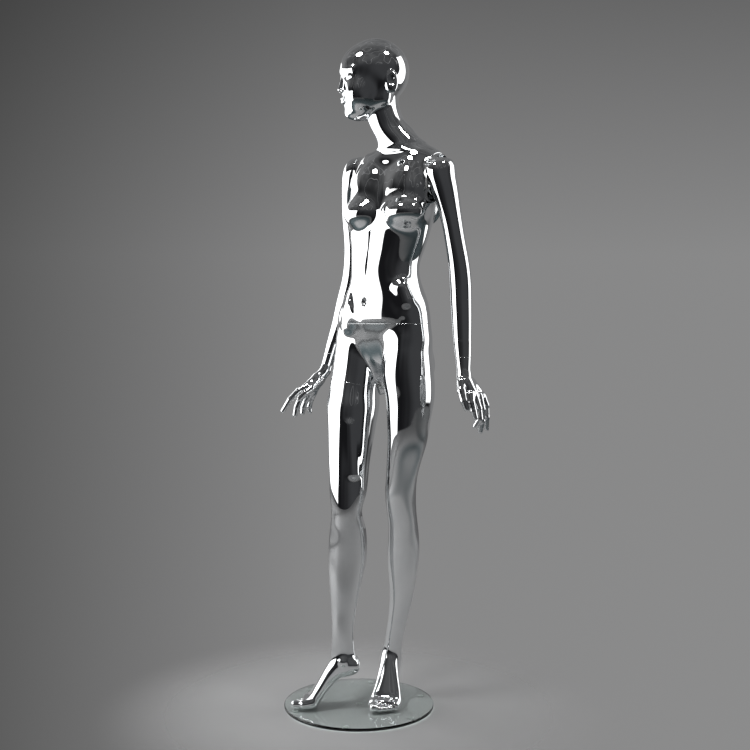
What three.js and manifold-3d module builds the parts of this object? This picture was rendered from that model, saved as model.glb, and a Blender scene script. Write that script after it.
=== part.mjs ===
// Full body mannequin: chrome figure on a round glass base.
// Millimetres, +Z up. The origin is on the floor under the centre of the glass plate.
// The figure faces -Y; its left side is +X.
// Heights inside the figure are measured from the top of the glass.
import * as THREE from 'three';
import { mergeVertices } from 'three/addons/utils/BufferGeometryUtils.js';
import Module from 'manifold-3d';

// ---- driving dimensions ----
const PLATE_D = 400;          // glass plate diameter
const PLATE_T = 8;            // glass thickness
const BUMPER_H = 3;           // clear rubber bumpers under the glass
const BUMPER_INSET = 22;      // bumper centres in from the plate edge
const GLASS_TOP = BUMPER_H + PLATE_T;
const ARM_WALL = 3.6;
const LEG_WALL = 5.5;
const TRUNK_WALL = 7;
const HEAD_WALL = 9;
const GAP = 0.3;              // running gap between pieces
const PLUG_EXTRA = 0.1;       // further gap round the boards of the trunk and thigh
const SEAM = 0.15;            // half the gap at a seam between two shells
const BOARD_T = 4;            // closing board thickness
const WRIST_BOARD_T = 3;
const WRIST_POST_R = 4;
const POST_TAIL = 14;         // length of a wrist post inside the hand
const WAIST = [52, 42, 1014.7];       // centre of the waist lock, on the hip seam
const THIGH = [-42, 27, 868];         // point on the groin seam
const THIGH_TILT = 14;                // the groin seam falls toward the inside
const LEFT_SHOULDER = [216, 49, 1398];
const RIGHT_SHOULDER = [-36, 55, 1404];
const SHOULDER_TILT = 6;      // the shoulder line drops toward the left
const WRIST_Z = 929;          // height where the wrist seams cross the forearm axes
const ARMPIT_Z = 1335;        // above this the arm shells follow the chest
const KNEE_UP = 700;          // height where the leg solids split above the knee
const SPIGOT = [60, 49, 0];   // support rod position on the plate
const ROD_R = 6;              // support rod radius
const ROD_TOP = 84;           // rod height above the glass
const FOOT_TUBE = { outerR: 9.2, bottom: 46, top: 91 };   // tube that receives the rod
const HEAD_FRAME = { origin: [45.8, 12.3, 1650.6], yaw: -37 };
const LEFT_FOOT_FRAME = { origin: [20.8, 124.5, 0], yaw: 27.4 };
const RIGHT_FOOT_FRAME = { origin: [25.0, -24.7, 0], yaw: -50 };
const UP = [0, 0, 1];

// ---- materials ----
const CHROME = { color: 0xd4d6d8, roughness: 0.05, metalness: 1 };
const STEEL = { color: 0xa9abad, roughness: 0.35, metalness: 1 };
const BOARD = { color: 0xb9babb, roughness: 0.6, metalness: 0.2 };
const NYLON = { color: 0xe8e6df, roughness: 0.55, metalness: 0 };
const GLASS = { color: 0xc8d6d2, roughness: 0.03, metalness: 0 };
const RUBBER = { color: 0xd9dcda, roughness: 0.7, metalness: 0 };

// ---- small maths ----
const rad = (degrees) => (degrees * Math.PI) / 180;
const clamp = (value, low, high) => Math.min(Math.max(value, low), high);
const negate = (vector) => vector.map((part) => -part);
const unit = (vector) => {
  const length = Math.hypot(...vector);
  return vector.map((part) => part / length);
};
const smoothStep = (from, to, value) => {
  const t = clamp((value - from) / (to - from), 0, 1);
  return t * t * (3 - 2 * t);
};

// smooth minimum: two surfaces melt together over the distance blend
function smoothMin(a, b, blend) {
  if (blend <= 0) return Math.min(a, b);
  const h = Math.max(blend - Math.abs(a - b), 0) / blend;
  return Math.min(a, b) - (h * h * h * blend) / 6;
}
const smoothMax = (a, b, blend) => -smoothMin(-a, -b, blend);

// components of a horizontal vector along axes turned by yaw degrees
function intoYaw(yaw, dx, dy) {
  const c = Math.cos(rad(yaw));
  const s = Math.sin(rad(yaw));
  return [c * dx + s * dy, -s * dx + c * dy];
}
const intoFrame = ({ origin, yaw }, x, y, z) => [
  ...intoYaw(yaw, x - origin[0], y - origin[1]),
  z - origin[2],
];

// natural cubic spline through (knots, values), held constant beyond the ends
function spline(knots, values) {
  const count = knots.length;
  const gaps = knots.slice(1).map((knot, i) => knot - knots[i]);
  const curvature = new Array(count).fill(0);
  const upper = new Array(count).fill(0);
  const carried = new Array(count).fill(0);
  for (let i = 1; i < count - 1; i++) {
    const slopeAfter = (values[i + 1] - values[i]) / gaps[i];
    const slopeBefore = (values[i] - values[i - 1]) / gaps[i - 1];
    const pivot = 2 * (knots[i + 1] - knots[i - 1]) - gaps[i - 1] * upper[i - 1];
    upper[i] = gaps[i] / pivot;
    carried[i] = (6 * (slopeAfter - slopeBefore) - gaps[i - 1] * carried[i - 1]) / pivot;
  }
  for (let i = count - 2; i > 0; i--) curvature[i] = carried[i] - upper[i] * curvature[i + 1];
  return (position) => {
    const t = clamp(position, knots[0], knots[count - 1]);
    let i = 0;
    while (i < count - 2 && t > knots[i + 1]) i++;
    const a = (knots[i + 1] - t) / gaps[i];
    const b = (t - knots[i]) / gaps[i];
    const bend = (a ** 3 - a) * curvature[i] + (b ** 3 - b) * curvature[i + 1];
    return a * values[i] + b * values[i + 1] + bend * gaps[i] * gaps[i] / 6;
  };
}

// ---- body shapes: each has distance(x, y, z), negative inside, and its blend distance ----
// Column of sections. A row is [height, centre x, centre y, half width, front depth,
// back depth, turn in degrees, fullness]; a fullness left out is 2, a plain ellipse.
function column({ rows, capBlend, blend = 0 }) {
  const heights = rows.map((row) => row[0]);
  const bottom = heights[0];
  const top = heights[heights.length - 1];
  const splines = [1, 2, 3, 4, 5, 6, 7].map((i) => spline(heights, rows.map((row) => row[i] ?? 2)));
  function distance(x, y, z) {
    const [centreX, centreY, width, front, back, turn, fullness] = splines.map((at) => at(z));
    const [across, along] = intoYaw(turn, x - centreX, y - centreY);
    const t = clamp((along + front) / (front + back), 0, 1);
    const depth = front + (back - front) * t * t * (3 - 2 * t);
    const u = Math.abs(across) / width;
    const v = Math.abs(along) / depth;
    const r = (u ** fullness + v ** fullness + 1e-12) ** (1 / fullness);
    const slope = Math.hypot(u ** (fullness - 1) / width, v ** (fullness - 1) / depth)
      * r ** (1 - fullness) + 1e-9;
    const wall = r < 1e-3 ? -Math.min(width, depth) : (r - 1) / slope;
    return smoothMax(smoothMax(wall, z - top, capBlend), bottom - z, capBlend);
  }
  return { distance, blend, bottom, centre: (z) => [splines[0](z), splines[1](z)] };
}

// tapered capsule between two points [x, y, z, radius]
function capsule([ax, ay, az, startR], [bx, by, bz, endR], blend) {
  const [dx, dy, dz] = [bx - ax, by - ay, bz - az];
  function distance(x, y, z) {
    const [px, py, pz] = [x - ax, y - ay, z - az];
    const h = clamp((px * dx + py * dy + pz * dz) / (dx * dx + dy * dy + dz * dz), 0, 1);
    return Math.hypot(px - h * dx, py - h * dy, pz - h * dz) - (startR + (endR - startR) * h);
  }
  return { distance, blend };
}

function ellipsoid(centre, radii, blend, yaw = 0) {
  function distance(x, y, z) {
    const [dx, dy] = intoYaw(yaw, x - centre[0], y - centre[1]);
    const dz = z - centre[2];
    const k0 = Math.hypot(dx / radii[0], dy / radii[1], dz / radii[2]);
    const k1 = Math.hypot(dx / radii[0] ** 2, dy / radii[1] ** 2, dz / radii[2] ** 2) + 1e-9;
    return k0 * (k0 - 1) / k1;
  }
  return { distance, blend };
}

// the shape is carved away instead of added
const carve = (shape) => ({ ...shape, carved: true });
// round groove through points [x, y, z]
const groove = (radius, blend, points) => points.slice(1).map((point, i) => (
  carve(capsule([...points[i], radius], [...point, radius], blend))
));

// the shapes are joined in list order
function groupDistance([first, ...others], x, y, z) {
  let total = first.distance(x, y, z);
  for (const { distance, blend, carved } of others) {
    const next = distance(x, y, z);
    total = carved ? smoothMax(total, -next, blend) : smoothMin(total, next, blend);
  }
  return total;
}

// ---- trunk tables ----
const TRUNK_COLUMNS = [
  // hips to shoulders
  column({ capBlend: 40, rows: [
    [858, 48.5, 44, 20, 8, 30, 0, 2.1],
    [872, 48.7, 43, 34, 14, 46, 0, 2.1],
    [892, 49, 42, 64, 23, 62, 0, 2.15],
    [916, 49.4, 41.5, 104, 36, 76, 0, 2.2],
    [942, 49.3, 41.3, 132, 47, 84, 0, 2.25],
    [970, 49.0, 41.2, 143.5, 56, 86.2, 0, 2.25],
    [998, 49.2, 41.4, 142, 63.5, 85, 0, 2.25],
    [1023.9, 48.8, 40.9, 140.4, 70.5, 84.2, 0, 2.25],
    [1076.5, 53.9, 42.6, 124.6, 74.7, 74.7, 0, 2.25],
    [1118.4, 58.3, 41.1, 104.4, 71.0, 64.7, 0, 2.25],
    [1160.1, 60.3, 37.6, 97.7, 70.3, 62.5, 0, 2.25],
    [1207.0, 66.6, 40.2, 106.3, 72.3, 65.9, 0, 2.25],
    [1261.4, 73.7, 41.0, 119.7, 74.2, 70.6, 0, 2.25],
    [1310.4, 81.2, 42.0, 126.3, 71.4, 72.0, 0, 2.25],
    [1357.1, 86.9, 46.8, 129.5, 67.3, 69.9, 0, 2.25],
    [1393.3, 91.1, 50.3, 132.4, 60.9, 66.2, 0, 2.25],
    [1421.7, 95.0, 53.6, 134.3, 55.1, 61.8, 0, 2.25],
    [1442.3, 97.4, 55.6, 125.1, 52.6, 55.1, 0, 2.25],
    [1460.4, 101.4, 59.0, 101.9, 46.9, 48.9, 0, 2.25],
    [1475.9, 101.6, 59.1, 67.2, 41.7, 41.7, 0, 2.25],
  ] }),
  // neck
  column({ blend: 26, capBlend: 14, rows: [
    [1455.2, 110.0, 66.2, 80.7, 68.6, 50.1, 0, 2.0],
    [1475.9, 100.2, 58.0, 65.9, 59.3, 47.4, 0, 2.0],
    [1496.5, 88.8, 48.4, 59.9, 56.9, 50.9, -8, 1.8],
    [1517.1, 77.5, 38.9, 53.6, 53.6, 51.0, -15, 1.75],
    [1542.8, 67.4, 30.4, 49.4, 49.4, 49.4, -22, 1.75],
    [1563.5, 61.1, 26.4, 48.2, 48.2, 48.2, -26, 1.75],
    [1584.3, 56.4, 23.9, 47.6, 47.6, 47.6, -30, 1.8],
    [1615.1, 54.5, 22.2, 46.7, 46.7, 46.7, -32, 2.0],
  ] }),
];
const TORSO = [
  ...TRUNK_COLUMNS,
  // breasts
  ellipsoid([152, 13, 1342], [57, 42, 86], 36),
  ellipsoid([160, -6, 1297], [57, 50, 38], 26),
  ellipsoid([34, 11, 1345], [57, 42, 86], 36),
  ellipsoid([27, -8, 1300], [57, 50, 43], 26),
  // buttocks
  ellipsoid([109, 87, 905], [66, 54, 76], 40),
  ellipsoid([-11, 87, 896], [66, 54, 76], 40),
  // collar bones
  capsule([106, 18, 1436, 10], [176, 34, 1440, 10], 30),
  capsule([82, 18, 1438, 10], [10, 34, 1448, 10], 30),
  // shoulder blades
  ellipsoid([159, 98, 1345], [46, 20, 72], 26),
  ellipsoid([27, 98, 1352], [46, 20, 72], 26),
  // slopes from the neck to the shoulders
  capsule([96, 68, 1500, 24], [192, 60, 1432, 18], 36),
  capsule([96, 68, 1500, 24], [0, 60, 1442, 18], 36),
  // fullness at the left and right of the hips
  capsule([145.5, 2, 1106, 18], [156, 8, 1074, 17], 34),
  capsule([-6.8, -11, 1060.6, 17], [-25.7, -8, 1006, 17], 32),
  // grooves down the front, right then left, toward the crotch
  ...groove(9, 14, [
    [-6.5, -27.6, 1098.3], [23.8, -44, 1028.8], [29.8, -27.7, 954.4], [39.9, 5.7, 886.2],
  ]),
  ...groove(9, 16, [[162, -19, 1020], [136.3, -26.1, 952.7], [82.5, -9.4, 889.4]]),
  // groove down the middle of the belly, and the navel
  ...groove(8, 14, [[71, -39.6, 1246], [51, -38.6, 1112]]),
  carve(ellipsoid([46, -38, 1071], [9, 15, 12], 4)),
  // grooves down the middle of the back and between the buttocks
  ...groove(9, 22, [[94, 130, 1400], [60, 117, 1120]]),
  ...groove(8, 16, [[49, 148, 955], [49, 122, 872]]),
];

// ---- head tables, in the head's own frame: x left, y back, z up ----
// one side of the face; side is 1 for left, -1 for right
const faceSide = (side) => [
  // jaw, then cheek
  capsule([side * 14, -50, -93, 13], [side * 44, 14, -62, 15], 22),
  capsule([side * 43, 8, -60, 14], [side * 50, 22, -22, 16], 34),
  ellipsoid([side * 35, -45, -46], [27, 35, 42], 24),
  // eye hollow, eye and brow
  carve(ellipsoid([side * 31, -93, -4], [17, 15, 11], 12)),
  ellipsoid([side * 30, -64, -6], [17, 17, 11], 5),
  capsule([side * 10, -82, 13, 6], [side * 44, -68, 12, 6], 14),
];
const ear = (side) => [
  ellipsoid([side * 69, 27, -22], [9, 17, 30], 5, side * -14),
  carve(ellipsoid([side * 79, 24, -17], [7, 10, 17], 4, side * -14)),
];
const HEAD = [
  // skull
  ellipsoid([0, 4, 16], [71, 86, 84], 0),
  ellipsoid([0, -28, 24], [58, 61, 54], 25),
  // face
  column({ blend: 16, capBlend: 20, rows: [
    [-112, 0, -46, 10, 12, 26, 0, 2.2],
    [-104, 0, -42, 22, 29, 36, 0, 2.3],
    [-92, 0, -36, 33, 41, 40, 0, 2.3],
    [-76, 0, -28, 43, 52, 44, 0, 2.3],
    [-60, 0, -24, 50, 60, 46, 0, 2.3],
    [-40, 0, -22, 56, 63, 50, 0, 2.3],
    [-20, 0, -20, 60, 65, 55, 0, 2.3],
    [0, 0, -18, 61, 66, 60, 0, 2.3],
    [20, 0, -16, 60, 66, 60, 0, 2.3],
  ] }),
  ...faceSide(1),
  ...faceSide(-1),
  // nose
  capsule([0, -83, -2, 6], [0, -88.5, -28, 7.5], 9),
  ellipsoid([0, -90.5, -34], [7.5, 8.5, 6.5], 5),
  ellipsoid([9, -83.5, -38], [6.5, 9, 5.5], 4),
  ellipsoid([-9, -83.5, -38], [6.5, 9, 5.5], 4),
  // lips
  ellipsoid([0, -84, -57.5], [21, 6.8, 4.6], 4),
  ellipsoid([0, -82.5, -66], [17.5, 7.2, 5.2], 4),
  // chin
  ellipsoid([0, -64, -93], [20, 14, 15], 12),
  ...ear(1),
  ...ear(-1),
];

// ---- leg tables, ankle to hip ----
const LEFT_LEG = column({ capBlend: 24, rows: [
  [59.8, 44.8, 82.0, 23.7, 23.7, 26.1, 30],
  [97.4, 41.3, 83.0, 27.0, 28.4, 31.1, 30],
  [136.8, 47.4, 84.1, 24.8, 26.8, 28.5, 28],
  [187.2, 56.6, 86.6, 24.9, 25.9, 26.4, 26],
  [243.9, 68.8, 87.1, 28.0, 27.4, 28.6, 24],
  [301.3, 82.0, 81.8, 33.0, 30.3, 35.0, 22],
  [371.6, 91.2, 73.9, 40.2, 35.4, 45.0, 20],
  [427.3, 98.5, 67.6, 41.5, 36.6, 47.8, 18],
  [482.9, 104.5, 57.7, 38.6, 35.5, 42.5, 17],
  [524.4, 107.0, 48.0, 38.8, 38.8, 38.8, 16],
  [565.2, 109.3, 41.5, 40.1, 43.3, 37.7, 15],
  [605.8, 115.1, 36.5, 40.8, 42.8, 39.1, 14],
  [659.3, 125.1, 35.8, 45.4, 46.3, 45.4, 12],
  [712.1, 134.3, 38.2, 51.6, 52.7, 53.7, 10],
  [764.3, 136.4, 40.7, 56.1, 57.3, 60.6, 8],
  [816.2, 136.7, 44.9, 61.6, 62.8, 69.0, 5],
  [878.6, 132.7, 43.4, 65.3, 66.6, 73.1, 4],
  [941.1, 134.6, 39.8, 59.8, 59.8, 65.8, 3],
  [987.7, 134.5, 41.1, 50.2, 50.2, 55.2, 2],
  [1029.1, 134.0, 47.2, 35.6, 35.6, 39.1, 0],
] });
const RIGHT_LEG = column({ capBlend: 24, rows: [
  [91.4, -11.1, -49.8, 25.3, 27.8, 27.8, -50],
  [123.7, -12.6, -51.0, 23.9, 29.9, 31.1, -50],
  [164.0, -12.7, -51.2, 24.4, 29.3, 30.5, -50],
  [204.1, -13.2, -50.9, 24.3, 28.0, 29.2, -50],
  [255.5, -16.5, -42.6, 30.3, 32.7, 33.9, -48],
  [307.0, -20.7, -35.0, 38.2, 38.2, 42.1, -46],
  [358.7, -26.1, -27.8, 46.4, 42.7, 53.8, -44],
  [398.6, -27.1, -26.0, 48.8, 43.0, 58.6, -42],
  [439.3, -24.3, -26.3, 48.5, 43.7, 57.2, -40],
  [480.6, -17.9, -28.1, 45.5, 43.2, 47.8, -38],
  [519.2, -12.0, -32.3, 41.6, 42.5, 38.3, -35],
  [560.7, -13.1, -24.0, 47.4, 51.2, 43.6, -30],
  [599.8, -17.0, -19.5, 50.8, 52.8, 49.8, -25],
  [651.9, -22.9, -11.4, 55.0, 56.1, 55.0, -20],
  [704.2, -27.2, -1.9, 59.4, 60.6, 61.8, -17],
  [756.8, -31.3, 7.7, 64.1, 65.4, 69.2, -13],
  [804.3, -35.7, 17.1, 67.7, 69.0, 74.4, -10],
  [830.9, -36.8, 21.3, 65.1, 66.5, 73.0, -8],
  [884.2, -35.9, 33.8, 64.8, 66.1, 72.6, -6],
  [937.8, -35.7, 40.5, 62.7, 62.7, 69.0, -4],
  [986.2, -35.3, 42.2, 53.9, 53.9, 59.3, -2],
  [1029.1, -31.9, 41.1, 36.8, 36.8, 40.5, 0],
] });
const RIGHT_THIGH_RIDGE = capsule([1.8, -36.6, 748.6, 12], [15.2, -41, 622, 14], 18);

// ---- left foot, in its own frame: x left, y up, z from heel to toes; the right mirrors it ----
// rows of a column that runs along z
const FOOT_ROWS = [
  [0, 0, 112, 10, 9, 10, 0, 2.0],
  [4, 0, 112, 17, 15, 16, 0, 2.0],
  [12, 0, 112, 22.5, 21, 20, 0, 2.05],
  [24, 0, 112, 24.5, 25, 22, 0, 2.05],
  [40, 0, 110, 24, 28, 26, 0, 2.05],
  [56, 0, 104, 23.5, 29, 33, 0, 2.05],
  [72, 1, 90, 25.5, 32, 36, 0, 2.05],
  [86, 2, 74, 28.5, 32, 37, 0, 2.1],
  [100, 3, 52, 33, 30, 38, 0, 2.2],
  [112, 4, 34, 37, 28, 36, 0, 2.3],
  [122, 4, 24, 40, 22, 29, 0, 2.3],
  [132, 4, 17, 41.5, 16.5, 20, 0, 2.4],
  [142, 3, 14, 41, 14, 14.5, 0, 2.5],
  [152, 1, 13, 39, 13, 13, 0, 2.5],
];
// five toes from the big one outward, then the ball behind the big toe: [x, y, z, radius]
const TOES = [
  [[-24, 13, 146, 11.5], [-20, 12.5, 171, 11.2]],
  [[-6, 12, 150, 8.5], [-4, 9.5, 170, 8.2]],
  [[8, 12, 147, 8], [9, 9, 164, 7.6]],
  [[20, 11.5, 141, 7.8], [21, 8.6, 156, 7.2]],
  [[31, 11, 133, 7.6], [31, 8.2, 146, 7.0]],
  [[-27, 16, 126, 12], [-25, 15, 146, 11]],
];
// distances from the heel of the rings that form the foot
const FOOT_RINGS = [2, 8, 18, 32, 50, 68, 84, 98, 110, 121, 132, 142, 151];

// ---- arm tables, wrist to shoulder ----
const LEFT_ARM_ROWS = [
  [873.5, 300.7, 56.5, 16.3, 18.7, 18.7, 48],
  [893.6, 298.8, 57.5, 17.2, 18.1, 18.1, 45],
  [928.6, 294.8, 60.7, 19.8, 18.8, 18.8, 40],
  [973.8, 289.5, 64.1, 23.4, 22.3, 22.3, 35],
  [1024.1, 284.7, 67.9, 26.2, 26.2, 26.2, 30],
  [1074.5, 280.3, 70.7, 28.0, 28.0, 28.0, 25],
  [1125.0, 276.3, 72.6, 28.4, 28.4, 28.4, 20],
  [1175.4, 272.0, 70.3, 27.4, 29.6, 29.6, 15],
  [1225.7, 265.1, 65.8, 26.2, 30.1, 30.1, 10],
  [1276.0, 257.7, 60.9, 26.5, 31.8, 31.8, 5],
  [1326.3, 247.8, 55.2, 30.6, 37.3, 37.3, 0],
  [1361.5, 241.2, 51.0, 33.5, 41.9, 41.9, 0],
  [1394.1, 235.4, 47.4, 35.4, 44.3, 44.3, 0],
  [1416.8, 234.2, 47.7, 33.9, 38.9, 38.9, 0],
  [1431.9, 234.5, 49.2, 27.1, 27.1, 27.1, 0],
];
const RIGHT_ARM_ROWS = [
  [885.8, -156.4, 41.1, 10.7, 14.9, 14.9, -45],
  [927.0, -149.5, 53.4, 13.8, 17.2, 17.2, -40],
  [968.4, -139.5, 65.7, 21.4, 23.5, 23.5, -35],
  [1023.6, -124.6, 78.2, 28.9, 28.9, 28.9, -28],
  [1078.7, -111.1, 84.3, 31.1, 31.1, 31.1, -20],
  [1133.4, -97.1, 88.2, 30.5, 30.5, 30.5, -15],
  [1187.8, -87.4, 87.3, 29.5, 31.3, 31.3, -10],
  [1241.9, -83.3, 81.6, 28.0, 31.3, 31.3, -6],
  [1295.3, -79.4, 71.8, 28.0, 33.1, 33.1, -3],
  [1347.8, -68.5, 61.3, 30.2, 36.9, 36.9, 0],
  [1384.4, -59.5, 57.1, 33.4, 41.7, 41.7, 0],
  [1418.6, -52.0, 58.2, 36.1, 45.1, 45.1, 0],
  [1442.6, -46.2, 62.4, 36.0, 41.4, 41.4, 0],
  [1458.6, -42.6, 65.4, 30.9, 30.9, 30.9, 0],
];
const LEFT_ARM = column({ capBlend: 24, rows: LEFT_ARM_ROWS });
const RIGHT_ARM = column({ capBlend: 24, rows: RIGHT_ARM_ROWS });

// ---- hands: the lowest arm sections, then limbs through points [x, y, z, radius] ----
const HAND_CAP_BLEND = 1e-3;
const LEFT_WRIST = column({ capBlend: HAND_CAP_BLEND, rows: LEFT_ARM_ROWS.slice(0, 4) });
const RIGHT_WRIST = column({ capBlend: HAND_CAP_BLEND, rows: RIGHT_ARM_ROWS.slice(0, 3) });
const LEFT_HAND_LIMBS = [
  // palm
  [[300.0, 57.3, 883.6, 17.5], [306.5, 61.4, 861.0, 18]],
  [[310.4, 51.6, 864.1, 18], [324.8, 57.2, 839.3, 16]],
  [[306.5, 74.4, 862.9, 17], [322.8, 90.7, 835.0, 14]],
  // fingers
  [[305.4, 37.0, 869.5, 12], [314.6, 26.4, 847.9, 11],
    [324.1, 23.9, 823.6, 9.2], [331.8, 25.2, 804.0, 7]],
  [[329.5, 44.1, 837.7, 11], [338.4, 35.9, 818.6, 9.5],
    [344.5, 35.9, 799.1, 8.2], [348.4, 39.1, 781.7, 6.5]],
  [[329.6, 61.2, 834.3, 11], [341.4, 61.9, 804.8, 9.3],
    [343.2, 66.1, 777.0, 8.2], [331.4, 61.4, 757.8, 6.4]],
  [[329.7, 80.8, 833.3, 10.5], [337.9, 82.5, 800.8, 9],
    [335.7, 85.9, 770.2, 8], [328.3, 88.8, 743.0, 6.3]],
  [[327.9, 98.9, 832.2, 9.5], [335.3, 103.8, 809.5, 8.4],
    [334.7, 108.5, 778.7, 7.2], [331.0, 113.3, 747.6, 5.8]],
];
const RIGHT_HAND_LIMBS = [
  // palm
  [[-155.9, 40.2, 883.0, 15], [-169.8, 24.6, 861.1, 16]],
  [[-169.8, 24.6, 861.1, 17], [-182.0, 1.3, 838.2, 17]],
  [[-173.9, 29.0, 858.0, 16], [-190.8, 22.7, 827.2, 14.5]],
  [[-167.2, 13.7, 856.1, 14], [-177.9, -10.9, 841.7, 12]],
  // fingers
  [[-171.7, -13.5, 843.4, 10.5], [-186.4, -33.7, 831.5, 9.0],
    [-202.5, -52.4, 807.1, 7.6], [-215.5, -67.3, 775.9, 6.0]],
  [[-177.8, 0.9, 835.6, 11], [-193.4, -18.6, 812.6, 9.2],
    [-200.4, -27.2, 785.2, 8], [-204.0, -31.5, 763.3, 6.4]],
  [[-183.9, 15.4, 827.8, 10.5], [-196.7, 4.7, 802.9, 8.8],
    [-202.0, 0.2, 783.5, 7.8], [-203.5, -2.3, 766.9, 6.2]],
  [[-189.3, 29.2, 824.1, 9.5], [-198.4, 26.7, 803.0, 7.8],
    [-202.3, 24.7, 784.8, 7], [-201.3, 25.6, 768.1, 5.6]],
  [[-158.1, 16.1, 859.1, 11], [-157.8, -12.3, 838.4, 9.5],
    [-165.6, -31.9, 825.4, 8.2], [-175.4, -45.3, 809.4, 6.6]],
];

// ---- distance fields of the body ----
// far outside the box low..high a rough distance stands in for the slow exact one
function bounded(shapes, low, high) {
  const margin = 40;
  return (x, y, z) => {
    const outside = Math.max(
      low[0] - margin - x, x - high[0] - margin,
      low[1] - margin - y, y - high[1] - margin,
      low[2] - margin - z, z - high[2] - margin,
    );
    return outside > 0 ? outside + margin : groupDistance(shapes, x, y, z);
  };
}
const TRUNK_BOX = [[-130, -110, 780], [250, 200, 1640]];
const torso = bounded(TORSO, ...TRUNK_BOX);
// the hollow follows the plain trunk: breasts, buttocks and shoulder blades are solid inside
const core = bounded(TRUNK_COLUMNS, ...TRUNK_BOX);
const head = (x, y, z) => groupDistance(HEAD, ...intoFrame(HEAD_FRAME, x, y, z));
const leftLeg = bounded([LEFT_LEG], [-20, -60, 60], [210, 200, 1010]);
const rightLeg = bounded([RIGHT_LEG, RIGHT_THIGH_RIDGE], [-130, -120, 90], [80, 130, 1010]);
const leftArm = bounded([LEFT_ARM], [150, -20, 850], [330, 140, 1450]);
const rightArm = bounded([RIGHT_ARM], [-200, -60, 860], [40, 190, 1475]);

// trunk joined to both legs; the two rises widen the blends with height
const withLegs = (trunk, crotchRise, hipRise) => (x, y, z) => {
  const crotchBlend = 6 + crotchRise * smoothStep(840, 900, z);
  const legs = smoothMin(leftLeg(x, y, z), rightLeg(x, y, z), crotchBlend);
  return smoothMin(trunk(x, y, z), legs, 9 + hipRise * smoothStep(900, 985, z));
};
const withArms = (trunk) => (x, y, z) => {
  const blend = 4 + 26 * smoothStep(1325, 1385, z);
  return smoothMin(smoothMin(trunk(x, y, z), leftArm(x, y, z), blend), rightArm(x, y, z), blend);
};
const hips = withLegs(torso, 14, 22);
const hipsCore = withLegs(core, 0, 20);
const chest = withArms(torso);
const chestCore = withArms(core);

// ---- solids ----
const wasm = await Module();
wasm.setup();

function solidOf(geometry) {
  geometry.deleteAttribute('normal');
  geometry.deleteAttribute('uv');
  return solidFromWelded(mergeVertices(geometry, 1e-4));
}
function solidFromWelded(geometry) {
  return new wasm.Manifold(new wasm.Mesh({
    numProp: 3,
    vertProperties: new Float32Array(geometry.attributes.position.array),
    triVerts: new Uint32Array(geometry.index.array),
  }));
}
// closed geometry stripped to welded positions, ready to be bent into shape
function weldedForm(geometry) {
  geometry.deleteAttribute('normal');
  geometry.deleteAttribute('uv');
  return mergeVertices(geometry, 1e-4);
}
const union = (solids) => solids.reduce((a, b) => a.add(b));
// the one outer body of a solid: drops slivers and closed voids left by joining
const largestBody = (solid) => (
  solid.decompose().reduce((a, b) => (b.volume() > a.volume() ? b : a))
);
function toGeometry(solid) {
  const mesh = solid.getMesh();
  const geometry = new THREE.BufferGeometry();
  const positions = new Float32Array(mesh.vertProperties);
  geometry.setAttribute('position', new THREE.BufferAttribute(positions, 3));
  geometry.setIndex(new THREE.BufferAttribute(new Uint32Array(mesh.triVerts), 1));
  geometry.computeVertexNormals();
  return geometry;
}

// distance from origin along direction to where the field passes the level
function reach(field, level, origin, direction, limit) {
  const beyond = (r) => field(
    origin[0] + direction[0] * r,
    origin[1] + direction[1] * r,
    origin[2] + direction[2] * r,
  ) > level;
  let before = 0;
  let r = 0;
  while (r < limit) {
    r = Math.min(r + 5, limit);
    if (beyond(r)) {
      let inner = before;
      let outer = r;
      for (let i = 0; i < 14; i++) {
        const middle = (inner + outer) / 2;
        if (beyond(middle)) outer = middle;
        else inner = middle;
      }
      return Math.max((inner + outer) / 2, 0.6);
    }
    before = r;
  }
  return limit;
}

// Closed tube through rings { centre, u, w }, u and w being the directions of the ring plane;
// radiusAt(ring, direction) gives the distance of each ring point from the centre.
function ringTube(rings, radial, radiusAt) {
  const spans = rings.length - 1;
  const geometry = weldedForm(new THREE.CylinderGeometry(1, 1, 1, radial, spans, false));
  const position = geometry.attributes.position;
  for (let i = 0; i < position.count; i++) {
    const x = position.getX(i);
    const z = position.getZ(i);
    const ring = rings[Math.round((position.getY(i) + 0.5) * spans)];
    let point = ring.centre;
    // the points on the axis are the centres of the two end caps
    if (Math.hypot(x, z) > 0.5) {
      const direction = [0, 1, 2].map((j) => ring.u[j] * z + ring.w[j] * x);
      const r = radiusAt(ring, direction);
      point = ring.centre.map((c, j) => c + direction[j] * r);
    }
    position.setXYZ(i, ...point);
  }
  return solidFromWelded(geometry);
}
// tube whose rings are pushed out to where the field reaches the level
const castTube = ({ field, level = 0, rings, radial, limit }) => (
  ringTube(rings, radial, (ring, v) => reach(field, level, ring.centre, v, limit))
);
// horizontal rings at the given heights, listed upward
const flatRings = (heights, centreAt) => heights.map((z) => {
  const [x, y] = centreAt(z);
  return { centre: [x, y, z], u: [1, 0, 0], w: [0, 1, 0] };
});

function castBall({ field, level, origin, widthSegments, heightSegments, limit }) {
  const geometry = weldedForm(new THREE.SphereGeometry(1, widthSegments, heightSegments));
  const position = geometry.attributes.position;
  for (let i = 0; i < position.count; i++) {
    const v = [position.getX(i), -position.getZ(i), position.getY(i)];
    const r = reach(field, level, origin, v, limit);
    position.setXYZ(i, origin[0] + v[0] * r, origin[1] + v[1] * r, origin[2] + v[2] * r);
  }
  return solidFromWelded(geometry);
}

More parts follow.
